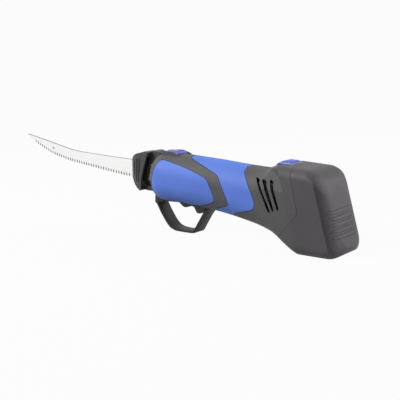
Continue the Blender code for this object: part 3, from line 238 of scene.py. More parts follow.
def place_noise(tree, size, detail, stretch=(1.0, 1.0, 1.0)):
    """Noise whose blobs are about one size across, in the barrel's own directions."""
    place = wired(tree, "Mapping", {
        "Vector": wired(tree, "TexCoord", {}, "Object"), "Rotation": (0.0, -LEAN, 0.0),
        "Scale": tuple(s / size for s in stretch)})
    return wired(tree, "TexNoise", {"Vector": place, "Scale": 1.0, "Detail": detail}, "Fac")


def two_tones(tree, source, dark, light):
    ramp = tree.nodes.new("ShaderNodeValToRGB")
    for element, place, tone in zip(ramp.color_ramp.elements, (0.3, 0.7), (dark, light)):
        element.position = place
        element.color = (*tone, 1.0)
    tree.links.new(source, ramp.inputs["Fac"])
    return ramp.outputs["Color"]


def ranged(tree, source, low, high):
    """A value spread from low to high as a noise goes from dark to light."""
    return wired(tree, "MapRange", {"Value": source, "From Min": 0.3, "From Max": 0.7,
                                    "To Min": low, "To Max": high})


def bumped(tree, source, depth, strength):
    return wired(tree, "Bump", {"Height": source, "Distance": depth, "Strength": strength})


def textured(name, tones, cloud, gloss, fine, bump):
    """A material whose colour follows one noise, and whose gloss and bump follow a finer one."""
    material = bpy.data.materials.new(name)
    material.use_nodes = True
    tree = material.node_tree
    shader = tree.nodes["Principled BSDF"]
    slow = place_noise(tree, *cloud)
    quick = place_noise(tree, *fine)
    tree.links.new(two_tones(tree, slow, *tones), shader.inputs["Base Color"])
    tree.links.new(ranged(tree, quick, *gloss), shader.inputs["Roughness"])
    tree.links.new(bumped(tree, quick, *bump), shader.inputs["Normal"])
    return material, shader


def moulded(name, color, roughness, grain=GRAIN_SIZE, depth=0.00003, drift=0.06, specular=0.5):
    """Moulded plastic with a fine grain, a slow drift of colour and a varying gloss."""
    tones = [tuple(c * share for c in color) for share in (1 - drift, 1 + drift)]
    gloss = (roughness - 0.05, roughness + 0.05)
    material, shader = textured(name, tones, (DRIFT_SIZE, 3.0), gloss, (grain, 2.0), (depth, 0.5))
    shader.inputs["Specular IOR Level"].default_value = specular
    return material


HOUSING_PLASTIC = moulded("housing_plastic", (0.082, 0.079, 0.081), 0.62, specular=0.2)
BATTERY_PLASTIC = moulded("battery_plastic", (0.076, 0.071, 0.077), 0.55, specular=0.2)
GUARD_PLASTIC = moulded("guard_plastic", (0.026, 0.026, 0.026), 0.50, specular=0.15)
BLUE_PLASTIC = moulded("blue_plastic", (0.100, 0.185, 0.600), 0.60, depth=0.00002, drift=0.04,
                       specular=0.2)
BUTTON_PLASTIC = moulded("button_plastic", (0.052, 0.086, 0.420), 0.35, depth=0.00001,
                         drift=0.03)
CLIP_PLASTIC = moulded("clip_plastic", (0.050, 0.049, 0.050), 0.52, specular=0.25)
# Painted shade: the clip's core is darker than its pads for the shade that falls between them.
CORE_PAINTED_SHADE = moulded("core_painted_shade", (0.034, 0.032, 0.031), 0.50)
BLACK_PLASTIC = moulded("black_plastic", (0.014, 0.013, 0.013), 0.45, specular=0.35)
NYLON = moulded("nylon", (0.72, 0.70, 0.63), 0.42, grain=0.0006, drift=0.03)
MAGNET = moulded("magnet", (0.050, 0.050, 0.055), 0.55, grain=0.0005)
CELL_WRAP = moulded("cell_wrap", (0.030, 0.200, 0.120), 0.28, depth=0.000005)
SOLDER_MASK = moulded("solder_mask", (0.012, 0.110, 0.045), 0.30, grain=0.0012, drift=0.15)
print("moulded", [material.name for material in bpy.data.materials])

# %% [markdown]
# ## Ground and drawn metal
#
# Blades are ground lengthwise, so fine lines run from tip to tang and stretch each highlight.
# Scratches could be modelled, but they are far below a pixel: noise squeezed across the blade
# and drawn out along it gives the same broken gloss. Shafts, springs and contacts use it too.
# The tang's bright reflection is painted: it is pale and dull rather than a mirror, so its finish
# has no metal share.

# %% A maker of brushed metal
LINE_WIDTH = 0.00025
LINE_LENGTH = 0.02
LINE_DEPTH = 0.000006
CLOUD_SIZE = 0.015


def brushed(name, color, roughness, metallic=1.0):
    """Metal with long fine lines and a faint cloudiness."""
    tones = [tuple(min(1.0, c * share) for c in color) for share in (0.98, 1.03)]
    stretch = (LINE_WIDTH / LINE_LENGTH, 1.0, 1.0)
    gloss = (roughness - 0.04, roughness + 0.06)
    material, shader = textured(name, tones, (CLOUD_SIZE, 2.0), gloss, (LINE_WIDTH, 3.0, stretch),
                                (LINE_DEPTH, 0.4))
    shader.inputs["Metallic"].default_value = metallic
    return material


BLADE_STEEL = brushed("blade_steel", (0.890, 0.890, 0.880), 0.26)
# Painted reflection: a pale white with no metal share stands in for the light that the steel tang
# reflects.
TANG_PAINTED_REFLECTION = brushed("tang_painted_reflection", (0.93, 0.93, 0.92), 0.50, metallic=0.0)
# Painted shade: near-black steel for the gullets and the inner strip, where the two blades shade
# each other.
GULLET_PAINTED_SHADE = brushed("gullet_painted_shade", (0.016, 0.016, 0.017), 0.50)
SPINE_STEEL = brushed("spine_steel", (0.220, 0.220, 0.225), 0.45)
SPRING_STEEL = brushed("spring_steel", (0.10, 0.10, 0.11), 0.35)
SHAFT_STEEL = brushed("shaft_steel", (0.55, 0.55, 0.55), 0.30)
BRASS = brushed("brass", (0.72, 0.52, 0.22), 0.28)
CAN_STEEL = brushed("can_steel", (0.62, 0.62, 0.61), 0.35)
print("metals", BLADE_STEEL.name, SHAFT_STEEL.name, BRASS.name)

# %% [markdown]
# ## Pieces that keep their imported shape
#
# The drive, the cells and the boards sit inside closed shells and show only when the battery or
# the clip is off. Modelling them twice would gain nothing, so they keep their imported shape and
# take a real finish.

# %% Finishes for the inner pieces
INNER_FINISHES = {
    NYLON: ["worm_wheel", "gear_frame", "carrier_left", "carrier_right", "carrier_guide",
            "switch_cradle", "cell_holder"],
    SHAFT_STEEL: ["wheel_axle", "motor_rotor", "trigger_pin"],
    SPRING_STEEL: ["trigger_spring", "release_spring"],
    CAN_STEEL: ["motor_can"],
    BRASS: ["worm", "terminal_contact_1", "terminal_contact_2", "terminal_contact_3"],
    MAGNET: ["motor_magnet_left", "motor_magnet_right"],
    CELL_WRAP: ["battery_cell_left", "battery_cell_right"],
    SOLDER_MASK: ["control_board", "protection_board"],
    BLACK_PLASTIC: ["motor_end_cap", "microswitch", "release_bracket", "terminal_block",
                    "battery_front_cover"],
}


def finish_node(name, material):
    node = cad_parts[name]
    if not node.material_slots:
        node.data.materials.append(material)
    for slot in node.material_slots:
        slot.material = material


for material, names in INNER_FINISHES.items():
    for name in names:
        finish_node(name, material)
print("finished", sum(len(names) for names in INNER_FINISHES.values()), "inner pieces")

# %% [markdown]
# ## Mesh tools
#
# The shells are made as their moulds are: a solid form is skinned over cross sections, then
# hollowed and cut. A few helpers do this. Four corners of a bent skin seldom lie in one plane,
# and cutting needs flat faces, so twisted faces are split in two.

# %% Skins and prisms
def twisted(face):
    if len(face.verts) != 4:
        return False
    a, b, c, d = [v.co for v in face.verts]
    return abs((b - a).cross(c - a).normalized().dot(d - a)) > 1e-7


@contextmanager
def edited(mesh):
    """Open a mesh for editing, and write it back at the end of the with block."""
    bm = bmesh.new()
    bm.from_mesh(mesh)
    yield bm
    bm.to_mesh(mesh)
    bm.free()


def mesh_object(verts, faces):
    mesh = bpy.data.meshes.new("shape")
    mesh.from_pydata([tuple(v) for v in verts], [], faces)
    with edited(mesh) as bm:
        bmesh.ops.recalc_face_normals(bm, faces=bm.faces)
        bmesh.ops.triangulate(bm, faces=[face for face in bm.faces if twisted(face)])
    return add_object("shape", mesh)


def loft(rings):
    """A closed solid skinned over rings with equal counts of points."""
    count = len(rings[0])
    verts = [point for ring in rings for point in ring]
    faces = []
    for r in range(len(rings) - 1):
        for k in range(count):
            a = r * count + k
            b = r * count + (k + 1) % count
            faces.append((a, b, b + count, a + count))
    faces.append(tuple(range(count)))
    faces.append(tuple(range(len(verts) - count, len(verts))))
    return mesh_object(verts, faces)


def side_prism(points, y1, y0=None):
    """An outline seen from the side, pushed from y0 to y1, or as far either side of the middle."""
    return loft([[(x, y, z) for x, z in points] for y in (-y1 if y0 is None else y0, y1)])


def plan_prism(points, z0, z1):
    return loft([[(x, y, z) for x, y in points] for z in (z0, z1)])


def block(x0, x1, y0, y1, z0, z1):
    return plan_prism([(x0, y0), (x1, y0), (x1, y1), (x0, y1)], z0, z1)


def bar(x0, x1, half, z0, z1):
    """A block as wide to the left of the middle plane as to the right."""
    return block(x0, x1, -half, half, z0, z1)


def turned(place, direction, profile, sides=48):
    """A turned solid: (distance along the axis, radius) pairs, starting from place."""
    turn = Vector(direction).to_track_quat("Z", "Y").to_matrix()
    angles = np.linspace(0, 2 * math.pi, sides, endpoint=False)
    return loft([[Vector(place) + turn @ Vector((radius * math.cos(t), radius * math.sin(t), along))
                  for t in angles] for along, radius in profile])


def cross_rod(x, z, y0, y1, radius, sides=48):
    return turned((x, y0, z), (0, 1, 0), [(0.0, radius), (y1 - y0, radius)], sides)


print("mesh tools ready")

# %% [markdown]
# ## Cutting and joining
#
# Two solids meet by Boolean modifiers, which are applied at once so that the next cut starts
# from a plain mesh. Outlines with hard corners get short arcs, because no mould has a sharp
# inside corner.

# %% Booleans and outlines
def combine(target, other, operation):
    modifier = target.modifiers.new("combine", "BOOLEAN")
    modifier.operation = operation
    modifier.object = other
    modifier.solver = "EXACT"
    graph = bpy.context.evaluated_depsgraph_get()
    mesh = bpy.data.meshes.new_from_object(target.evaluated_get(graph))
    target.modifiers.clear()
    target.data = mesh
    bpy.data.objects.remove(other, do_unlink=True)
    return target


def cut(target, *others):
    for other in others:
        combine(target, other, "DIFFERENCE")
    return target


def join(target, *others):
    for other in others:
        combine(target, other, "UNION")
    return target


def keep(target, other):
    return combine(target, other, "INTERSECT")


def mirrored(item):
    """The same solid on the other side of the middle plane."""
    result = add_object("copy", item.data.copy())
    with edited(result.data) as bm:
        bmesh.ops.scale(bm, vec=(1.0, -1.0, 1.0), verts=bm.verts)
        bmesh.ops.reverse_faces(bm, faces=bm.faces)
    return result


def rounded(points, radius, steps=5):
    """The outline with each corner swapped for a short arc."""
    result = []
    count = len(points)
    for i in range(count):
        corner = Vector(points[i])
        before = Vector(points[i - 1]) - corner
        after = Vector(points[(i + 1) % count]) - corner
        reach = min(radius, 0.45 * before.length, 0.45 * after.length)
        a = corner + before.normalized() * reach
        b = corner + after.normalized() * reach
        for k in range(steps + 1):
            t = k / steps
            p = a * (1 - t) ** 2 + corner * 2 * t * (1 - t) + b * t * t
            result.append((p.x, p.y))
    return result


def grown(points, distance):
    """The outline moved outwards by a distance, whichever way it winds."""
    count = len(points)
    area = sum(points[i - 1][0] * points[i][1] - points[i][0] * points[i - 1][1]
               for i in range(count))
    side = 1.0 if area > 0 else -1.0
    result = []
    for i in range(count):
        before = (Vector(points[i]) - Vector(points[i - 1])).normalized()
        after = (Vector(points[(i + 1) % count]) - Vector(points[i])).normalized()
        normal = Vector((before.y + after.y, -before.x - after.x)).normalized()
        cosine = max(0.4, normal.dot(Vector((before.y, -before.x))))
        p = Vector(points[i]) + normal * (side * distance / cosine)
        result.append((p.x, p.y))
    return result


print("cutting tools ready")

# %% [markdown]
# ## Finishing a piece
#
# Each finished solid is tilted into place, shaded smooth with its real edges kept sharp, given
# its name and its material, and set to ride on the body that moves it. The packed nodes that it
# stands for are hidden.

# %% Finish a piece
EDGE_ROUND = 0.00025
TINY_EDGE = 0.000005


def finished(item, name, body, material, nodes, smooth=32.0, edge=0.0, flats=False):
    """Place, shade, colour and hang one piece, and hide the nodes that it stands for."""
    with edited(item.data) as bm:
        bmesh.ops.dissolve_degenerate(bm, dist=TINY_EDGE, edges=bm.edges)
    item.name = name
    item.data.name = name
    item.data.transform(TILT)
    item.data.materials.clear()
    item.data.materials.append(material)
    item.data.shade_smooth()
    item.data.set_sharp_from_angle(angle=math.radians(smooth))
    if edge > 0.0:
        bevel = item.modifiers.new("edges", "BEVEL")
        bevel.limit_method = "ANGLE"
        bevel.angle_limit = math.radians(smooth)
        bevel.width = edge
        bevel.segments = 2
        bevel.harden_normals = True
    if flats:
        weighted = item.modifiers.new("flats", "WEIGHTED_NORMAL")
        weighted.keep_sharp = True
    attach(item, body)
    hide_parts(*nodes)
    print(name, len(item.data.polygons), "faces")
    return item


def recolored(item, material, chosen):
    """Give another material to the faces whose middle, in the barrel's frame, is chosen."""
    item.data.materials.append(material)
    index = len(item.data.materials) - 1
    to_barrel = TILT.inverted()
    for face in item.data.polygons:
        if chosen(to_barrel @ face.center):
            face.material_index = index


# %% [markdown]
# ## The form of the body
#
# The barrel is nearly round and swells into a square-shouldered hump that leans back. Curves
# along its length (top, underside, swell, corner radius and lean) describe it, and one
# function turns a place along the barrel into a cross section. The curves never overshoot the
# points that they pass through, which keeps flat stretches flat. Long rows of points are
# written as whole tenths of a millimetre.

# %% Curves of the body
def outline(points):
    """Points in metres, from points in whole tenths of a millimetre."""
    return [(x / 10000, z / 10000) for x, z in points]


def smooth_curve(points):
    """A monotone cubic through given points."""
    xs = np.array([p[0] for p in points])
    ys = np.array([p[1] for p in points])
    steps = np.diff(xs)
    slopes = np.diff(ys) / steps
    grads = np.zeros(len(xs))
    for i in range(1, len(xs) - 1):
        if slopes[i - 1] * slopes[i] > 0:
            grads[i] = 2 * slopes[i - 1] * slopes[i] / (slopes[i - 1] + slopes[i])
    grads[0] = slopes[0]
    grads[-1] = slopes[-1]

    def value(x):
        if x <= xs[0]:
            return float(ys[0])
        if x >= xs[-1]:
            return float(ys[-1] + grads[-1] * (x - xs[-1]))
        i = int(np.searchsorted(xs, x)) - 1
        t = (x - xs[i]) / steps[i]
        a = ys[i] * (1 + 2 * t) * (1 - t) ** 2 + grads[i] * steps[i] * t * (1 - t) ** 2
        b = ys[i + 1] * (3 - 2 * t) * t * t + grads[i + 1] * steps[i] * t * t * (t - 1)
        return float(a + b)

    return value


BARREL_HALF_WIDTH = 0.0225
BARREL_TOP = 0.0243
BARREL_BOTTOM = 0.0254
HUMP_HALF_WIDTH = 0.0250
HUMP_TOP = 0.0308
HUMP_CORNER = 0.0090
NOSE_LENGTH = 0.0140
NOSE_DROP = 0.0095
REAR_AT_AXIS = 0.2142
REAR_LEAN = math.radians(17.8)
REAR_ROUND = 0.0130
FOOT_FRONT = 0.1860
FOOT_DEPTH = 0.0429
REAR_BOTTOM_SHARE = 0.64
REAR_SIDE_ROUND = 0.0100
REAR_SIDE_SHARE = 1.8
REAR_SIDE_FLARE = 0.0016
REAR_SIDE_KINK = 0.0059
REAR_CORNER_SHARE = 0.4


def foot_height(x):
    return -FOOT_DEPTH + (x - FOOT_FRONT) * math.tan(LEAN)


TOP_LINE = smooth_curve([
    (0.0, BARREL_TOP), (0.138, BARREL_TOP), (0.146, BARREL_TOP + 0.0010),
    (0.152, BARREL_TOP + 0.0040), (0.158, HUMP_TOP - 0.0008), (0.164, HUMP_TOP),
    (0.230, HUMP_TOP)])
BELLY_LINE = smooth_curve(outline([
    (0, -275), (120, -277), (220, -268), (320, -258), (450, -254), (700, -254), (850, -255),
    (1000, -262), (1210, -280), (1400, -302), (1520, -318), (1620, -345), (1720, -385),
    (1800, -415)]) + [
        (FOOT_FRONT, foot_height(FOOT_FRONT))])
SWELL_LINE = smooth_curve([
    (0.0, 0.0), (0.135, 0.0), (0.150, 0.16), (0.164, 0.56), (0.1742, 1.0), (0.1900, 1.8)])
CORNER_LINE = smooth_curve([
    (0.0, BARREL_HALF_WIDTH - 0.0002), (0.130, BARREL_HALF_WIDTH - 0.0002), (0.150, 0.0180),
    (0.163, 0.0120), (0.174, HUMP_CORNER), (0.230, HUMP_CORNER)])
LEAN_LINE = smooth_curve([
    (0.0, 0.0), (0.122, 0.0), (0.150, 0.5 * REAR_LEAN), (0.174, REAR_LEAN), (0.230, REAR_LEAN)])
print("body curves from nose to", REAR_AT_AXIS)

# %% [markdown]
# ## Sections of the body
#
# The nose and the rear are rounded off by drawing each section in. The sides stay flat up to a
# crisp line near the rear, as on the real moulding, and only then turn round the corner. A
# plainer set of sections serves for what is cut out of the inside.

# %% Sections of the body
TOP_CROWN = 0.0005
RING_STEPS = 18
PLAIN_RING_STEPS = 6
NOSE_CORNER_SHARE = -0.35
SMALLEST_CORNER = 0.0020
SWELL_PLACES = (0.1220, 0.1780)
PLACES = [*np.arange(NOSE_LENGTH, 0.1200, 0.0088), *np.arange(*SWELL_PLACES, 0.0018),
          0.1790, 0.1820, 0.1860, 0.1900, 0.1940, 0.1980]
PLAIN_PLACES = [*PLACES[:13:3], *np.arange(*SWELL_PLACES, 0.0072), 0.1800, 0.1900]


def bottom_height(x):
    return foot_height(x) if x > FOOT_FRONT else BELLY_LINE(x)


def arc_drop(radius, reach):
    """How far an arc of a radius has dropped away at a reach from its top."""
    return radius - math.sqrt(max(0.0, radius ** 2 - reach ** 2))


def side_drawn(left, inset):
    """How far the sides are drawn in near the rear: flat up to a crisp line, then round."""
    radius = REAR_SIDE_ROUND - inset
    drop = arc_drop(radius, max(0.0, radius - left))
    return max(0.0, REAR_SIDE_SHARE * drop - REAR_SIDE_FLARE)


def body_ring(x, inset, steps, slimmer=0.0):
    """One rounded section, drawn in by inset, and its sides by slimmer more on the hump."""
    lean = math.tan(LEAN_LINE(x))
    nose = x < NOSE_LENGTH
    left = (REAR_AT_AXIS - x) * math.cos(REAR_LEAN) - inset
    drawn = 0.0
    if nose:
        drawn = NOSE_DROP * (1 - math.sqrt(max(0.0, 1 - (1 - x / NOSE_LENGTH) ** 2)))
    elif left < REAR_ROUND - inset:
        drawn = arc_drop(REAR_ROUND - inset, REAR_ROUND - inset - left)
    swell = min(1.0, SWELL_LINE(x))
    half = BARREL_HALF_WIDTH + (HUMP_HALF_WIDTH - BARREL_HALF_WIDTH) * swell - inset
    half = half - slimmer * swell - (drawn if nose else side_drawn(left, inset))
    top = BARREL_TOP
    bottom = -BARREL_BOTTOM
    for _ in range(12):
        top = TOP_LINE(x - top * lean) - inset - drawn
        bottom = (bottom_height(x - bottom * lean) + inset
                  + drawn * (1.0 if nose else REAR_BOTTOM_SHARE))
    corner = CORNER_LINE(x) - inset + drawn * (NOSE_CORNER_SHARE if nose else REAR_CORNER_SHARE)
    corner = min(max(SMALLEST_CORNER, corner), 0.999 * half, 0.499 * (top - bottom))
    section = [(0.0, top + TOP_CROWN)]
    for centre_y, centre_z, start in (
            (half - corner, top - corner, 90), (half - corner, bottom + corner, 0),
            (corner - half, bottom + corner, -90), (corner - half, top - corner, -180)):
        for k in range(steps + 1):
            angle = math.radians(start - 90 * k / steps)
            section.append((centre_y + corner * math.cos(angle),
                            centre_z + corner * math.sin(angle)))
        if start == 0:
            section.append((0.0, bottom))
    return [(x - z * lean, y, z) for y, z in section]


def body_solid(inset, fine=True, slimmer=0.0):
    """The whole outer form from nose to rear, drawn in by inset."""
    start = max(0.0, inset)
    nose = [NOSE_LENGTH * (1 - math.cos(math.radians(a))) for a in range(0, 90, 9)]
    stations = [start + (NOSE_LENGTH - start) * x / NOSE_LENGTH for x in nose]
    stations += PLACES if fine else PLAIN_PLACES
    lefts = [inset + (REAR_ROUND - inset) * (1 - math.sin(math.radians(angle)))
             for angle in range(0, 91, 6 if fine else 18)]
    for left in [*lefts, REAR_SIDE_KINK + inset]:
        stations.append(REAR_AT_AXIS - left / math.cos(REAR_LEAN))
    steps = RING_STEPS if fine else PLAIN_RING_STEPS
    return loft([body_ring(x, inset, steps, slimmer) for x in sorted(stations)])


print("section at the axis", len(body_ring(0.1, 0.0, RING_STEPS)), "points")

# %% [markdown]
# ## Seams, panels and vents seen from the side
#
# Every line on the knife's side was drawn on the side view: the seam between housing and
# battery, the two blue inlays, and three slanted vents with a hooked upper end. Each becomes a
# prism through the body that either cuts it or keeps a piece of it.

# %% Side outlines
GAP = 0.0003
HOUSING_WALL = 0.0024
BATTERY_WALL = 0.0024
GRIP_THICKNESS = 0.0010
OUTSIDE = 0.0400
FAR = 0.0600
FAR_REAR = 0.3000
PARTING_ROUND = 0.0020
PARTING = outline([
    (1690, 600), (1775, 300), (1868, -25), (1868, -65), (1780, -170), (1600, -400), (1400, -660)])
FRONT_GRIP = outline([
    (126, 140), (148, 178), (194, 184), (309, 174), (432, 161), (555, 143), (684, 119),
    (798, 91), (841, 70), (869, 26), (902, -32), (924, -85), (912, -120), (866, -142),
    (767, -183), (680, -212), (560, -228), (350, -236), (180, -242), (110, -222), (78, -170),
    (66, -110), (70, -40), (90, 31), (108, 92)])
REAR_GRIP = outline([
    (440, 400), (482, 233), (562, 219), (656, 202), (754, 182), (848, 159), (912, 143),
    (951, 126), (985, 90), (1027, 30), (1058, -25), (1088, -85), (1090, -118), (1060, -140),
    (1000, -160), (925, -186), (895, -222), (980, -244), (1080, -250), (1123, -205),
    (1236, -162), (1324, -133), (1380, -112), (1402, -80), (1402, -40), (1388, -5), (1360, 42),
    (1318, 100), (1270, 152), (1226, 190), (1207, 208), (1188, 233), (1170, 400)])
VENTS = [
    outline([
        (1379, 172), (1408, 176), (1443, 156), (1437, 142), (1471, 102), (1508, 36),
        (1543, -20), (1585, -97), (1563, -106), (1534, -61), (1482, 36), (1434, 113)]),
    outline([
        (1463, 172), (1495, 178), (1528, 159), (1522, 146), (1548, 105), (1576, 38),
        (1600, -15), (1627, -77), (1606, -88), (1577, -34), (1538, 41), (1503, 116)]),
    outline([
        (1555, 178), (1583, 184), (1608, 159), (1602, 145), (1617, 112), (1643, 46),
        (1681, -55), (1661, -68), (1637, -17), (1607, 53), (1575, 128)])]
SCREWS = outline([(190, -150), (500, 189), (1160, -128), (1480, -205), (1455, 215)])
FRONT_GRIP_SCREW = 0
REAR_GRIP_SCREW = 2
SCREW_SEAT = 0.0110
SCREW_HEAD_RADIUS = 0.0026


def behind_parting(offset):
    line = [(x + offset, z) for x, z in rounded(PARTING, PARTING_ROUND)]
    ends = [(FAR_REAR, PARTING[-1][1]), (FAR_REAR, PARTING[0][1])]
    return side_prism(line + ends, FAR)


print(len(VENTS), "vents a side,", len(SCREWS), "screws")

# %% [markdown]
# ## The raised side panel
#
# Behind and above a crisp line the hump is drawn in a little, so its flat side reads as a
# raised panel. It could be a plate laid on the side. Here everything outside a slimmer body is
# pared away beyond the line, so the panel stays part of the moulding.

# %% Body with its side panels
PANEL_STEP = 0.0003
PANEL_EDGE = outline([
    (1400, 600), (1650, 300), (1700, 290), (1770, 288), (1850, 284), (1916, 277), (1955, 268),
    (1983, 252), (2008, 233), (2036, 146), (2068, 46), (2102, -61), (2133, -156), (2161, -244),
    (2184, -315), (2275, -600)])
PANEL_BEYOND = 0.2600
CUT_CLEARANCE = 0.00002


def outer_form():
    """The body with its sides drawn in behind and above the edge of the side panels."""
    ends = [(PANEL_BEYOND, -FAR), (PANEL_BEYOND, FAR)]
    beyond = side_prism(PANEL_EDGE + ends, FAR)
    cut(beyond, body_solid(-CUT_CLEARANCE, slimmer=PANEL_STEP + CUT_CLEARANCE))
    return cut(body_solid(0.0), beyond)


def form_copy():
    return add_object("form", shared_form.data.copy())


shared_form = outer_form()
print("outer form", len(shared_form.data.polygons), "faces")

# %% [markdown]
# ## The sunken band and the scoop
#
# Along the barrel's top runs a shallow band that deepens towards the hump, and a hollow with
# three flat sides eases the barrel into the hump's shoulder. Sculpting would blur the creases
# that make them readable. Both are cut: the band by a block that stops at a slightly smaller
# body, the scoop by one flat-sided point.

# %% Tools for the band and the scoop
SHOULDER_HALF_WIDTH = 0.0120
SHOULDER_STEP = 0.0005
SHOULDER_FRONT = 0.0850
SHOULDER_REAR = 0.1500
SHOULDER_FADE = 0.0300
SCOOP_RIDGE_FRONT = Vector((0.1400, 0.0129, 0.0204))
SCOOP_RIDGE_REAR = Vector((0.1639, 0.0213, 0.0290))
SCOOP_CREASE_LOW = Vector((0.1725, 0.0251, 0.0105))
SCOOP_DEEP = Vector((0.1672, 0.0215, 0.0205))
SCOOP_FRONT = Vector((0.1500, 0.0222, 0.0120))
SCOOP_INWARD = Vector((0.877, -0.860, -0.319))
SCOOP_REACH = 0.0800
SCOOP_VALLEY_REACH = 0.1200
SCOOP_WALL = 0.0015


def shoulder_tool():
    """What lies above the sunken band along the barrel's top, which deepens towards the hump."""
    rings = []
    for x in np.linspace(SHOULDER_FRONT - 0.0050, SHOULDER_REAR + 0.0100, 41):
        share = min(1.0, max(0.0, (x - SHOULDER_FRONT) / SHOULDER_FADE))
        rings.append(body_ring(x, 0.00005 + SHOULDER_STEP * share, RING_STEPS))
    above = bar(SHOULDER_FRONT, SHOULDER_REAR, SHOULDER_HALF_WIDTH, 0.0100, OUTSIDE)
    return cut(above, loft(rings))


def scoop_tool(wall=0.0):
    """The three-sided scoop ahead of the hump, under the ridge that runs up to its top."""
    under = (SCOOP_RIDGE_REAR - SCOOP_RIDGE_FRONT).cross(SCOOP_DEEP - SCOOP_RIDGE_FRONT)
    floor = (SCOOP_DEEP - SCOOP_FRONT).cross(SCOOP_CREASE_LOW - SCOOP_FRONT)
    valley = under.cross(floor).normalized()
    if valley.x > 0.0:
        valley = -valley
    tip = SCOOP_DEEP + wall * SCOOP_INWARD
    ends = [tip + valley * SCOOP_VALLEY_REACH]
    for crease in (SCOOP_RIDGE_REAR, SCOOP_CREASE_LOW):
        ends.append(tip + (crease - SCOOP_DEEP).normalized() * SCOOP_REACH)
    return mesh_object([tip] + ends, [(0, 1, 2), (0, 2, 3), (0, 3, 1), (1, 3, 2)])


print("band and scoop from", SHOULDER_FRONT, "to", round(SCOOP_CREASE_LOW.x, 4))

# %% [markdown]
# ## The two halves of the housing
#
# The housing closes like a clam shell: two thin mirror-image mouldings with a hairline seam
# along the top and bottom, held by five screws from the right side. Pockets are cut for the
# blue inlays, the slider, the release button, the trigger and the guard's feet. Behind the
# vents the wall is thinner, so that one can see in at a slant.

# %% Housing halves
GRIP_CORNER = 0.0030
VENT_CORNER = 0.0006
VENT_FIELD = (0.1365, 0.1690, -0.0120, 0.0170)
VENT_INNER = 0.0080
VENT_WALL = 0.0009
SLIDE_GAP = 0.0004
TRIGGER_HALF_WIDTH = 0.0050
SLIDER_HALF_WIDTH = 0.0072
SLIDER_STEM = (0.0150, 0.0262)
SLIDER_FOOT = (0.0135, 0.0280)
SLIDER_TRAVEL = 0.0040
RELEASE_HALF_WIDTH = 0.0085
RELEASE_FRONT = 0.1525
RELEASE_REAR = 0.1680
GUARD_TENONS = [(0.0025, 0.0075, -0.0283), (0.0686, 0.0716, -0.0265)]
GUARD_TENON_TOP = -0.0220
GUARD_TENON_HALF = 0.0035
WINDOWS = [  # front, rear, half width, bottom and top, for the trigger, slider, button and nose
    (0.0272, 0.0685, TRIGGER_HALF_WIDTH + SLIDE_GAP, -0.0300, -0.0190),
    (SLIDER_STEM[0] - SLIDE_GAP, SLIDER_STEM[1] + SLIDER_TRAVEL + SLIDE_GAP,
     SLIDER_HALF_WIDTH / 2, 0.0190, 0.0300),
    (RELEASE_FRONT - SLIDE_GAP, RELEASE_REAR + SLIDE_GAP,
     RELEASE_HALF_WIDTH + SLIDE_GAP, 0.0190, 0.0500),
    (-0.0100, 0.0040, 0.0070, -0.0139, 0.0129)]
WINDOWS += [(front - GAP, rear + GAP, GUARD_TENON_HALF + GAP, -0.0300, GUARD_TENON_TOP + 0.0020)
            for front, rear, _ in GUARD_TENONS]


def cut_wall(shell):
    """Hollow the right half, let in its inlays and open its vents."""
    cut(shell, cut(body_solid(HOUSING_WALL, fine=False), scoop_tool(SCOOP_WALL)))
    keep(shell, block(-0.0100, 0.2600, GAP / 2, OUTSIDE, -FAR, FAR))
    for line in (FRONT_GRIP, REAR_GRIP):
        pocket = side_prism(grown(rounded(line, GRIP_CORNER), GAP), OUTSIDE, -0.0010)
        cut(shell, cut(pocket, body_solid(GRIP_THICKNESS + GAP)))
    x0, x1, z0, z1 = VENT_FIELD
    field = keep(block(x0, x1, VENT_INNER, OUTSIDE, z0, z1), body_solid(VENT_WALL))
    cut(shell, cut(field, scoop_tool(VENT_WALL)))
    for vent in VENTS:
        cut(shell, side_prism(rounded(vent, VENT_CORNER, 3), OUTSIDE, VENT_INNER))


def build_housing():
    right = cut(form_copy(), behind_parting(-GAP / 2))
    cut(right, shoulder_tool(), scoop_tool())
    cut_wall(right)
    for window in WINDOWS:
        cut(right, bar(*window))
    left = mirrored(right)
    for x, z in SCREWS:
        cut(right, cross_rod(x, z, SCREW_SEAT + SLIDE_GAP, OUTSIDE, SCREW_HEAD_RADIUS + GAP))
    for side, shell in (("right", right), ("left", left)):
        finished(shell, f"housing_{side}_shell", "housing", HOUSING_PLASTIC, [f"housing_{side}"],
                 smooth=12.0, flats=True)


build_housing()

# %% [markdown]
# ## The blue inlays
#
# Four soft blue panels are let into the housing, two a side. They follow the barrel exactly,
# so each is a thin skin of the body inside a slightly smaller outline, and a hairline gap all
# round shows that it is a piece of its own.

# %% Inlays
GRIP_EDGE = 0.0002


def build_inlays():
    for name, line, screw in (("front_grip", FRONT_GRIP, FRONT_GRIP_SCREW),
                              ("rear_grip", REAR_GRIP, REAR_GRIP_SCREW)):
        right = cut(body_solid(0.0), body_solid(GRIP_THICKNESS), shoulder_tool())
        keep(right, side_prism(grown(rounded(line, GRIP_CORNER), -GRIP_EDGE), OUTSIDE, GAP / 2))
        left = mirrored(right)
        x, z = SCREWS[screw]
        cut(right, cross_rod(x, z, SCREW_SEAT, OUTSIDE, SCREW_HEAD_RADIUS + GAP))
        for side, grip in (("right", right), ("left", left)):
            finished(grip, f"{name}_{side}_panel", "housing", BLUE_PLASTIC, [f"{name}_{side}"])


build_inlays()

# %% [markdown]
# ## The battery
#
# The battery is the rear of the hump: a cup-shaped case that slides off backwards. Round its
# rear run five low ribs, each inside a shallow groove that fades out at both ends. An image
# could fake them, but their edges catch the light, so each groove is cut and its rib is added.

# %% Battery case
RIB_HEIGHTS = (-0.0019, -0.0067, -0.0116, -0.0164, -0.0213)
RIB_HALF_HEIGHT = 0.0013
RIB_HALF_WIDTH = 0.0215
RIB_DEPTH = 0.00003
RIB_GROOVE = 0.0007
RIB_GROOVE_DEPTH = 0.0006
RIB_STEPS = 28
RIB_ARC_STEPS = 8
BATTERY_RIM = -0.0100


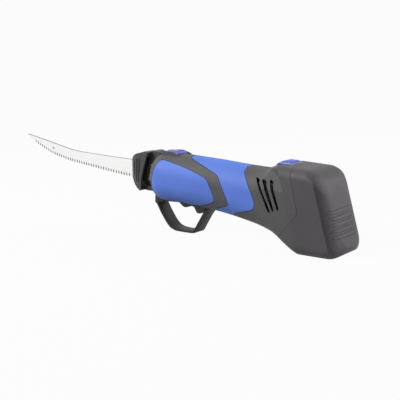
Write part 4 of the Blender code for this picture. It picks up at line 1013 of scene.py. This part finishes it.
def rear_surface(y, z):
    """How far back the outer form reaches at a place on its rear."""
    reach = REAR_AT_AXIS - z * math.tan(REAR_LEAN)
    drawn = (HUMP_HALF_WIDTH - PANEL_STEP - abs(y) + REAR_SIDE_FLARE) / REAR_SIDE_SHARE
    if drawn >= REAR_SIDE_ROUND:
        return reach
    return reach - arc_drop(REAR_SIDE_ROUND, REAR_SIDE_ROUND - drawn) / math.cos(REAR_LEAN)


def lens(z, wider, inner, outer):
    """A lens-shaped bar along the rear, from inner to outer, both measured from its surface."""
    rings = []
    for k in range(RIB_STEPS + 1):
        y = RIB_HALF_WIDTH * (2 * k / RIB_STEPS - 1)
        swell = math.sqrt(max(0.0, 1 - (y / RIB_HALF_WIDTH) ** 2))
        half = (RIB_HALF_HEIGHT + wider) * (0.10 + 0.90 * swell)
        deep = inner * (0.05 + 0.95 * swell)
        proud = outer * (0.05 + 0.95 * swell)
        ring = []
        for j in range(RIB_ARC_STEPS + 1):
            h = z + half * math.cos(math.pi * j / RIB_ARC_STEPS)
            ring.append((rear_surface(y, h) + proud, y, h))
        for h in (z - half, z + half):
            ring.append((rear_surface(y, h) + deep, y, h))
        rings.append(ring)
    return loft(rings)


def build_battery():
    case = keep(form_copy(), behind_parting(GAP / 2))
    cut(case, keep(body_solid(BATTERY_WALL, fine=False), behind_parting(BATTERY_RIM)))
    for z in RIB_HEIGHTS:
        cut(case, lens(z, RIB_GROOVE, -RIB_GROOVE_DEPTH, 0.0015))
        join(case, lens(z, 0.0, -2 * RIB_GROOVE_DEPTH, RIB_DEPTH))
    finished(case, "battery_shell", "battery", BATTERY_PLASTIC, ["battery_case"],
             smooth=20.0, flats=True)


build_battery()
bpy.data.objects.remove(shared_form, do_unlink=True)

# %% [markdown]
# ## The finger guard
#
# A flat strip is bent round the finger gap and tenoned into the housing. Its two sides are the
# same outline, so it could be a plain prism. Slightly smaller outlines at its two faces take
# the sharpness off its long edges, as the mould does.

# %% Guard
GUARD_HALF_WIDTH = 0.0073
GUARD_CORNER = 0.0016
GUARD_EDGE = ((0.0, -0.0005), (0.00015, -0.00015), (0.0005, 0.0))
GUARD_OUTER = outline([
    (-26, -145), (-35, -305), (-10, -315), (54, -407), (113, -475), (157, -519), (201, -545),
    (262, -558)])
GUARD_OUTER += [(x, foot_height(x)) for x in (0.0335, 0.0435)]
GUARD_OUTER += outline([
    (490, -541), (535, -530), (549, -509), (600, -426), (652, -343), (705, -272), (722, -262),
    (800, -150)])
GUARD_INNER = outline([
    (770, -150), (668, -275), (632, -330), (577, -416), (530, -490), (510, -509), (485, -516),
    (436, -527), (338, -535), (270, -535), (214, -523), (174, -499), (133, -458), (76, -390),
    (14, -300), (35, -290), (60, -286), (88, -286), (88, -145)])


def build_guard():
    line = rounded(GUARD_OUTER + GUARD_INNER, GUARD_CORNER, 4)
    edges = [(inward, grown(line, change) if change else line) for inward, change in GUARD_EDGE]
    faces = [(inward - GUARD_HALF_WIDTH, ring) for inward, ring in edges]
    faces += [(GUARD_HALF_WIDTH - inward, ring) for inward, ring in reversed(edges)]
    guard = cut(loft([[(x, y, z) for x, z in ring] for y, ring in faces]), body_solid(-GAP))
    for front, rear, low in GUARD_TENONS:
        join(guard, bar(front, rear, GUARD_TENON_HALF, low, GUARD_TENON_TOP))
    finished(guard, "finger_guard", "housing", GUARD_PLASTIC, ["trigger_guard"])


build_guard()

# %% [markdown]
# ## The slider on top and its bezel
#
# The thumb slider has to be pushed before the trigger will move. It is an oval cap with a
# crowned top and a scoop near its rear. It runs in a raised bezel that is shaped like a U and
# open at the rear, so the bezel is a plan outline kept inside a side outline, less a window.

# %% Slider and bezel
SLIDER_FRONT = 0.0095
SLIDER_REAR = 0.0340
SLIDER_TOP = 0.0266
SLIDER_RIM = SLIDER_TOP - 0.0024
SLIDER_BASE = 0.0200
SLIDER_SIDES = 72
SLIDER_SQUARENESS = 0.8
SCOOP_BACK = 0.0060
SCOOP_ABOVE = 0.0020
SCOOP_RADIUS = 0.0032
BEZEL_FRONT = 0.0048
BEZEL_REAR = 0.0345
BEZEL_HALF_WIDTH = 0.0090
BEZEL_NOSE = 0.0020
BEZEL_SIDE = outline([
    (0, 150), (0, 215), (65, 237), (100, 248), (160, 258), (230, 262), (295, 250)])
BEZEL_SIDE += [(BEZEL_REAR, 0.0239), (BEZEL_REAR, 0.0150)]


def oval(shrink, height):
    """A rounded outline with fuller corners than an ellipse, drawn in by shrink."""
    middle = 0.5 * (SLIDER_FRONT + SLIDER_REAR)
    half_length = 0.5 * (SLIDER_REAR - SLIDER_FRONT)
    points = []
    for t in np.linspace(0, 2 * math.pi, SLIDER_SIDES, endpoint=False) + math.pi / SLIDER_SIDES:
        c, s = (math.copysign(abs(v) ** SLIDER_SQUARENESS, v) for v in (math.cos(t), math.sin(t)))
        points.append((middle + (half_length - shrink) * c, (SLIDER_HALF_WIDTH - shrink) * s,
                       height))
    return points


def build_slider():
    crown = [(SLIDER_BASE, 0.0), (SLIDER_RIM, 0.0)]
    for angle in range(10, 91, 10):
        t = math.radians(angle)
        crown.append((SLIDER_RIM + 0.0022 * math.sin(t), 0.0046 * (1 - math.cos(t))))
    crown.append((SLIDER_TOP, 0.0062))
    cap = cut(loft([oval(shrink, height) for height, shrink in crown]), body_solid(-GAP))
    step = SLIDER_FRONT + 0.0055
    cut(cap, bar(SLIDER_FRONT - GAP, step, 0.0200, 0.0150,
                 TOP_LINE(step + SLIDER_TRAVEL) + TOP_CROWN + GAP))
    join(cap, bar(*SLIDER_STEM, 0.0032, 0.0180, 0.0255))
    join(cap, bar(*SLIDER_FOOT, 0.0052, 0.0170, 0.0196))
    cut(cap, cross_rod(SLIDER_REAR - SCOOP_BACK, SLIDER_TOP + SCOOP_ABOVE, -0.0200, 0.0200,
                       SCOOP_RADIUS))
    finished(cap, "slider_cap", "slider", BUTTON_PLASTIC, ["lock_off_slider"])


def build_bezel():
    front = BEZEL_FRONT + BEZEL_NOSE
    rear = BEZEL_REAR + 0.0100
    wide = BEZEL_HALF_WIDTH
    plan = rounded([(front, -wide), (rear, -wide), (rear, wide), (front, wide),
                    (BEZEL_FRONT, 0.0)], 0.0040, 8)
    front = SLIDER_FRONT - SLIDE_GAP
    half = SLIDER_HALF_WIDTH + SLIDE_GAP
    window = rounded([(front, -half), (FAR, -half), (FAR, half), (front, half)], 0.0030, 8)
    bezel = keep(plan_prism(plan, 0.0160, 0.0290),
                 side_prism(rounded(BEZEL_SIDE, 0.0010, 3), 0.0200))
    cut(bezel, body_solid(-GAP), plan_prism(window, 0.0100, 0.0300))
    finished(bezel, "slider_bezel", "housing", HOUSING_PLASTIC, ["switch_bezel"])


build_slider()
build_bezel()

# %% [markdown]
# ## The blades
#
# Two toothed blades lie face to face and saw against each other. Each is a strip that is flat
# inside, ground thin towards the edge outside, and notched with round gullets. A strip of
# narrow sections, one every half millimetre or so along the teeth, carries all of that in one
# clean skin. Extra points mark where the finish and the painted shade will change.

# %% Blade sections
BLADE_THICKNESS = 0.0009
TOOTH_PITCH = 0.0045
TOOTH_DEPTH = 0.0019
TOOTH_GULLET = 0.0019
TEETH = 41
TEETH_REAR = -0.0510
BLADE_TIP = -0.2491
BLADE_REAR = 0.0170
TANG_TOP = 0.0090
TANG_BOTTOM = -0.0106
GRIND_HEIGHT = 0.0045
SCALLOP = 0.0022
# How high the painted shade between the blades reaches up the inner face.
INNER_SHADE_HEIGHT = 0.0021
SPINE_DULL = 0.0003
SPINE_CHAMFER = 0.0001
EDGE_WIDTH = 0.00008
EDGE_LINE = smooth_curve([(BLADE_TIP, 0.0179)] + outline([
    (-2400, 126), (-2307, 85), (-2133, 31), (-1955, -17), (-1775, -42), (-1592, -63),
    (-1413, -73), (-1234, -81), (-1053, -88), (-872, -95), (-692, -102)]) + [
        (TEETH_REAR, TANG_BOTTOM), (BLADE_REAR, TANG_BOTTOM)])
SPINE_LINE = smooth_curve([(BLADE_TIP, 0.0184)] + outline([
    (-2122, 145), (-1804, 108), (-1600, 86), (-1403, 76), (-900, 82)]) + [
        (-0.0469, TANG_TOP), (BLADE_REAR, TANG_TOP)])


def blade_columns():
    """Places along the blade, each with the height that a gullet cuts up from the edge."""
    columns = [(BLADE_TIP + 0.0015 * i, 0.0) for i in range(7)]
    for i in range(TEETH - 1, -1, -1):
        x = TEETH_REAR - i * TOOTH_PITCH
        for t in np.linspace(-1, 1, 9):
            columns.append((x + TOOTH_GULLET / 2 * t, TOOTH_DEPTH * math.sqrt(max(0.0, 1 - t * t))))
        columns.append((x + TOOTH_PITCH / 2, 0.0))
    return columns + [(-0.0440, 0.0), (-0.0300, 0.0), (BLADE_REAR, 0.0)]


def build_blade():
    inner = GAP / 2
    outer = inner + BLADE_THICKNESS
    ground = outer - 0.00004
    rings = []
    for x, notch in blade_columns():
        top = SPINE_LINE(x)
        edge = EDGE_LINE(x)
        low = min(edge + notch, top - 0.0003)
        grind = max(min(edge + GRIND_HEIGHT, edge + 0.75 * (top - edge)), low + 0.0001)
        shoulder = min(grind + 0.0004, top - SPINE_DULL - 0.00002)
        lowest = inner + EDGE_WIDTH + (outer - inner) * max(0.0, low - edge) / GRIND_HEIGHT
        share = min(0.9, (0.00005 + SCALLOP * notch / TOOTH_DEPTH) / (grind - low))
        section = [
            (inner, low), (lowest, low),
            (lowest + share * (ground - lowest), low + share * (grind - low)),
            (ground, grind), (outer, shoulder),
            (outer, max(shoulder + 0.00001, top - SPINE_DULL)), (outer, top - SPINE_CHAMFER),
            (outer - SPINE_CHAMFER, top), (inner, top),
            (inner, max(low + 0.00005, min(edge + INNER_SHADE_HEIGHT, top - 0.0001)))]
        rings.append([(x, y, z) for y, z in section])
    return loft(rings)


print(len(blade_columns()), "sections a blade")

# %% [markdown]
# ## Finishes and painted shade along the blade
#
# The gullets, the scallops above them and the strip of the inner face behind them are painted
# near black as shade: the shadow that falls between the two blades. The edge of the spine is
# darker and duller than the ground side, and the tang is painted pale as the reflection on its
# steel. Painting that on an image would need unwrapping. Here each face is asked where its middle
# lies, and takes a material by that.

# %% Where the finish and the painted shade change
TANG_FRONT = -0.0300


def on_spine(place):
    return place.z > SPINE_LINE(place.x) - 0.9 * SPINE_DULL


def in_painted_gullet_shade(place):
    """Whether a place on a blade takes the painted shade: a gullet, the scallop above it, or the
    inner strip behind the teeth.
    """
    number = round((place.x - TEETH_REAR) / TOOTH_PITCH)
    if not -TEETH < number <= 0 or on_spine(place):
        return False
    # The inner face near the edge is painted dark for the shadow between the two blades.
    if abs(place.y) < 0.6 * GAP and place.z < EDGE_LINE(place.x) + INNER_SHADE_HEIGHT:
        return True
    across = abs(place.x - TEETH_REAR - number * TOOTH_PITCH) / (TOOTH_GULLET / 2)
    high = (TOOTH_DEPTH + SCALLOP) * math.sqrt(max(0.0, 1 - across ** 2))
    return place.z < EDGE_LINE(place.x) + high


def split_across(item, x):
    """Divide the faces along a line across the piece, so that each side can have its finish."""
    with edited(item.data) as bm:
        parts = bm.verts[:] + bm.edges[:] + bm.faces[:]
        bmesh.ops.bisect_plane(bm, geom=parts, plane_co=(x, 0, 0), plane_no=(1, 0, 0))


print("tang finish behind", TANG_FRONT)

# %% [markdown]
# ## The two blades and their rivet
#
# A heel at the rear of each blade is what its carrier pushes. Near the tip a rivet keeps the
# pair together: it is fast in the left blade and runs in a slot of the right one, which leaves
# room for the strokes of both.

# %% Blades and their rivet
RIVET_X = -0.1930
RIVET_RISE = 0.0012
RIVET_RADIUS = 0.0010
RIVET_HEAD = [(0.0001, RIVET_RADIUS), (0.0, 0.0018), (0.0003, 0.0017), (0.00045, 0.0013),
              (0.0005, 0.0008)]
STROKE_LIMIT = 0.0031
CARRIER_INNER = 0.0042
HEEL_LENGTH = 0.0080
HEEL_TOP = 0.0007
HEEL_BOTTOM = -0.0037
BLADE_REACH = 0.0050


def build_blades():
    heel_rear = BLADE_REAR - 0.0005
    right = build_blade()
    join(right, block(heel_rear - HEEL_LENGTH, heel_rear, GAP, CARRIER_INNER - SLIDE_GAP,
                      HEEL_BOTTOM, HEEL_TOP))
    left = mirrored(right)
    rivet_z = 0.5 * (EDGE_LINE(RIVET_X) + SPINE_LINE(RIVET_X)) + RIVET_RISE
    bore = RIVET_RADIUS + GAP
    slot = []
    for side in (1, -1):
        for t in np.linspace(-math.pi / 2, math.pi / 2, 13):
            slot.append((RIVET_X + side * (2 * STROKE_LIMIT + bore * math.cos(t)),
                         rivet_z + side * bore * math.sin(t)))
    cut(right, side_prism(slot, BLADE_REACH))
    cut(left, cross_rod(RIVET_X, rivet_z, -BLADE_REACH, BLADE_REACH, bore))
    for side, blade in (("right", right), ("left", left)):
        split_across(blade, TANG_FRONT)
        finished(blade, f"{side}_blade", f"blade_{side}", BLADE_STEEL, [f"blade_{side}"],
                 smooth=25.0)
        # The tang gets a painted reflection; the gullets and the inner strip get painted shade.
        recolored(blade, TANG_PAINTED_REFLECTION, lambda middle: middle.x > TANG_FRONT)
        recolored(blade, GULLET_PAINTED_SHADE, in_painted_gullet_shade)
        recolored(blade, SPINE_STEEL, lambda middle: middle.x < TANG_FRONT and on_spine(middle))
    face = GAP / 2 + BLADE_THICKNESS + GAP
    first, *head = RIVET_HEAD
    near = [(-face - out, radius) for out, radius in reversed(head)]
    shank = [(-face + first[0], first[1]), (face - first[0], first[1])]
    profile = near + shank + [(face + out, radius) for out, radius in head]
    rivet = turned((RIVET_X, 0.0, rivet_z), (0, 1, 0), profile)
    finished(rivet, "tip_rivet", "blade_left", SHAFT_STEEL, ["blade_rivet"])


build_blades()

# %% [markdown]
# ## The blade clip
#
# Squeezing the ribbed pads of this clip frees the blades from the nose. The pads stand out from
# a core that carries a prong above and below. Pads and core are one moulding on the real clip,
# so they are joined, and the core is painted darker for the shade that falls on it between the
# pads. The nose cap behind the clip keeps its imported shape.

# %% Blade clip
CLIP_HALF_WIDTH = 0.0120
CLIP_WALL = 0.0022
CLIP_FRONT_WALL = -0.0310
CLIP_HOLLOW = (-0.0172, 0.0165)
CLIP_GROOVES = [(-0.0302, -0.0040, 0.0110), (-0.0266, -0.0110, 0.0137),
                (-0.0238, -0.0112, 0.0137), (-0.0212, -0.0010, 0.0145)]
CLIP_GROOVE_WIDTH = 0.0012
CLIP_GROOVE_DEPTH = 0.0012
CORE_HALF_WIDTH = 0.0050
CLIP_REACH = 0.0200
CLIP_SIDE = outline([
    (-150, 222), (-278, 187), (-339, 149), (-375, 95), (-405, 20), (-400, -35), (-360, -80),
    (-307, -143), (-265, -178), (-215, -203), (-200, -190), (-200, -125), (-189, -54),
    (-165, 29), (-138, 101), (-103, 184), (-85, 226)])
CLIP_PLAN = outline([(-415, 30), (-405, 42), (-390, 66), (-362, 90), (-320, 108), (-260, 118)])
CLIP_PLAN += [(-0.0200, CLIP_HALF_WIDTH), (0.0, CLIP_HALF_WIDTH)]
CLIP_CORE = outline([
    (-345, 120), (-300, 172), (-203, 214), (-120, 224), (10, 236), (30, 218), (-57, 124),
    (-85, 100), (-132, 88), (-149, 74), (-177, -37), (-211, -124), (-200, -136), (-120, -152),
    (-34, -155), (-34, -192), (-140, -200), (-225, -200), (-300, -130), (-345, -80)])
TONGUES = [(-0.0129, -0.0119), (0.0104, 0.0116)]
TONGUE_REAR = -0.0210
TONGUE_REACH = 0.0034
TONGUE_HALF_WIDTH = 0.0040


def clip_width(x):
    return float(np.interp(x, *zip(*CLIP_PLAN)))


def both_sides(line):
    """A closed plan outline from its right half."""
    return line + [(x, -y) for x, y in reversed(line)]


def in_shaded_core(place):
    return abs(place.y) < CORE_HALF_WIDTH + 0.0001 and place.x > CLIP_FRONT_WALL - 0.0002


def build_clip():
    plan = rounded(both_sides(CLIP_PLAN), 0.0012, 4)
    clip = keep(side_prism(rounded(CLIP_SIDE, 0.0018), CLIP_REACH),
                plan_prism(plan, -0.0400, 0.0400))
    inside = [(x, clip_width(x) - CLIP_WALL) for x in (CLIP_FRONT_WALL, -0.0260, -0.0200, 0.0)]
    cut(clip, plan_prism(both_sides(inside), *CLIP_HOLLOW))
    for x, low, high in CLIP_GROOVES:
        depth = clip_width(x) - CLIP_GROOVE_DEPTH
        half = CLIP_GROOVE_WIDTH / 2
        for y0, y1 in ((depth, CLIP_REACH), (-CLIP_REACH, -depth)):
            cut(clip, block(x - half, x + half, y0, y1, low, high))
    join(clip, side_prism(rounded(CLIP_CORE, 0.0006, 3), CORE_HALF_WIDTH))
    for z0, z1 in TONGUES:
        join(clip, bar(TONGUE_REAR, TONGUE_REACH, TONGUE_HALF_WIDTH, z0, z1))
    cut(clip, bar(-0.0500, 0.0, GAP / 2 + BLADE_THICKNESS + SLIDE_GAP,
                  TANG_BOTTOM - SLIDE_GAP, TANG_TOP + SLIDE_GAP))
    finished(clip, "clip_body", "clip", CLIP_PLASTIC, ["blade_clip"],
             edge=EDGE_ROUND)
    # The core between the pads takes the painted shade.
    recolored(clip, CORE_PAINTED_SHADE, in_shaded_core)


build_clip()
finish_node("nose_cap", BLACK_PLASTIC)

# %% [markdown]
# ## The trigger
#
# The trigger shows two rounded bumps below the front inlay. It is its side outline pushed
# across, with rounded edges from a bevel, and it has a bore for the pin that it turns on.

# %% Trigger
TRIGGER_PIN = (0.0310, -0.0185)
TRIGGER_BORE = 0.0018
TRIGGER_EDGE = 0.0005
TRIGGER_SIDE = outline([
    (280, -165), (280, -232), (299, -257), (342, -283), (370, -296), (413, -288), (448, -270),
    (483, -265), (511, -273), (528, -300), (539, -318), (562, -327), (608, -318), (642, -288),
    (665, -256), (665, -205), (620, -189), (520, -189), (510, -146), (490, -146), (480, -182),
    (340, -150), (300, -147)])


def build_trigger():
    trigger = side_prism(rounded(TRIGGER_SIDE, 0.0016), TRIGGER_HALF_WIDTH)
    cut(trigger, cross_rod(*TRIGGER_PIN, -0.0200, 0.0200, TRIGGER_BORE))
    finished(trigger, "trigger_lever", "trigger", BLACK_PLASTIC, ["trigger"],
             edge=TRIGGER_EDGE)


build_trigger()

# %% [markdown]
# ## The release button
#
# The button on the hump is a low dome. A dome could be pulled out of a grid, but two outlines
# describe it: one from the side and one from the front, each pushed through the other. A
# tongue behind it reaches towards the battery.

# %% Release button
RELEASE_TOP = 0.0338
RELEASE_BOTTOM = 0.0225
RELEASE_TONGUE = 0.1768


def build_release():
    front = RELEASE_FRONT
    rear = RELEASE_REAR
    top = RELEASE_TOP
    half = RELEASE_HALF_WIDTH
    low = RELEASE_BOTTOM
    side = rounded([(front, low), (front, 0.0290), (front + 0.0025, 0.0313),
                    (front + 0.0060, top - 0.0004), (front + 0.0090, top),
                    (rear - 0.0030, top - 0.0006), (rear, 0.0316), (rear, low)], 0.0020, 6)
    dome = [(half, 0.0200), (half, top - 0.0022), (half - 0.0015, top - 0.0009),
            (half - 0.0045, top - 0.0002)]
    crown = [(-half, 0.0200), *dome, (0.0, top), *((-y, z) for y, z in reversed(dome[1:]))]
    crown = rounded(crown, 0.0015, 4)
    button = side_prism(side, half)
    keep(button, loft([[(x, y, z) for y, z in crown] for x in (0.1400, 0.1900)]))
    join(button, bar(rear - 0.0040, RELEASE_TONGUE, 0.0050, low, low + 0.0020))
    finished(button, "release_button", "release", BUTTON_PLASTIC, ["battery_release"])


build_release()

# %% [markdown]
# ## The housing screws
#
# Five pan-head screws close the shells from the right. A turned profile gives shank and head
# in one go, and a thin block cuts the slot.

# %% Screws
SCREW_RADIUS = 0.0011
SCREW_DEPTH = 0.0090
SLOT_HALF_WIDTH = 0.0005
SLOT_HALF_LENGTH = 0.0040


def build_screws():
    head = SCREW_DEPTH + SCREW_SEAT
    profile = [(0.0010, SCREW_RADIUS), (head + GAP, SCREW_RADIUS),
               (head + GAP + 0.0001, SCREW_HEAD_RADIUS), (head + 0.0016, SCREW_HEAD_RADIUS),
               (head + 0.0020, SCREW_HEAD_RADIUS - 0.0006)]
    for number, (x, z) in enumerate(SCREWS, 1):
        screw = turned((x, -SCREW_DEPTH, z), (0, 1, 0), profile, 32)
        cut(screw, block(x - SLOT_HALF_WIDTH, x + SLOT_HALF_WIDTH, SCREW_SEAT + 0.0012,
                         SCREW_SEAT + 0.0030, z - SLOT_HALF_LENGTH, z + SLOT_HALF_LENGTH))
        finished(screw, f"housing_screw_head_{number}", "housing", SHAFT_STEEL,
                 [f"housing_screw_{number}"])


build_screws()
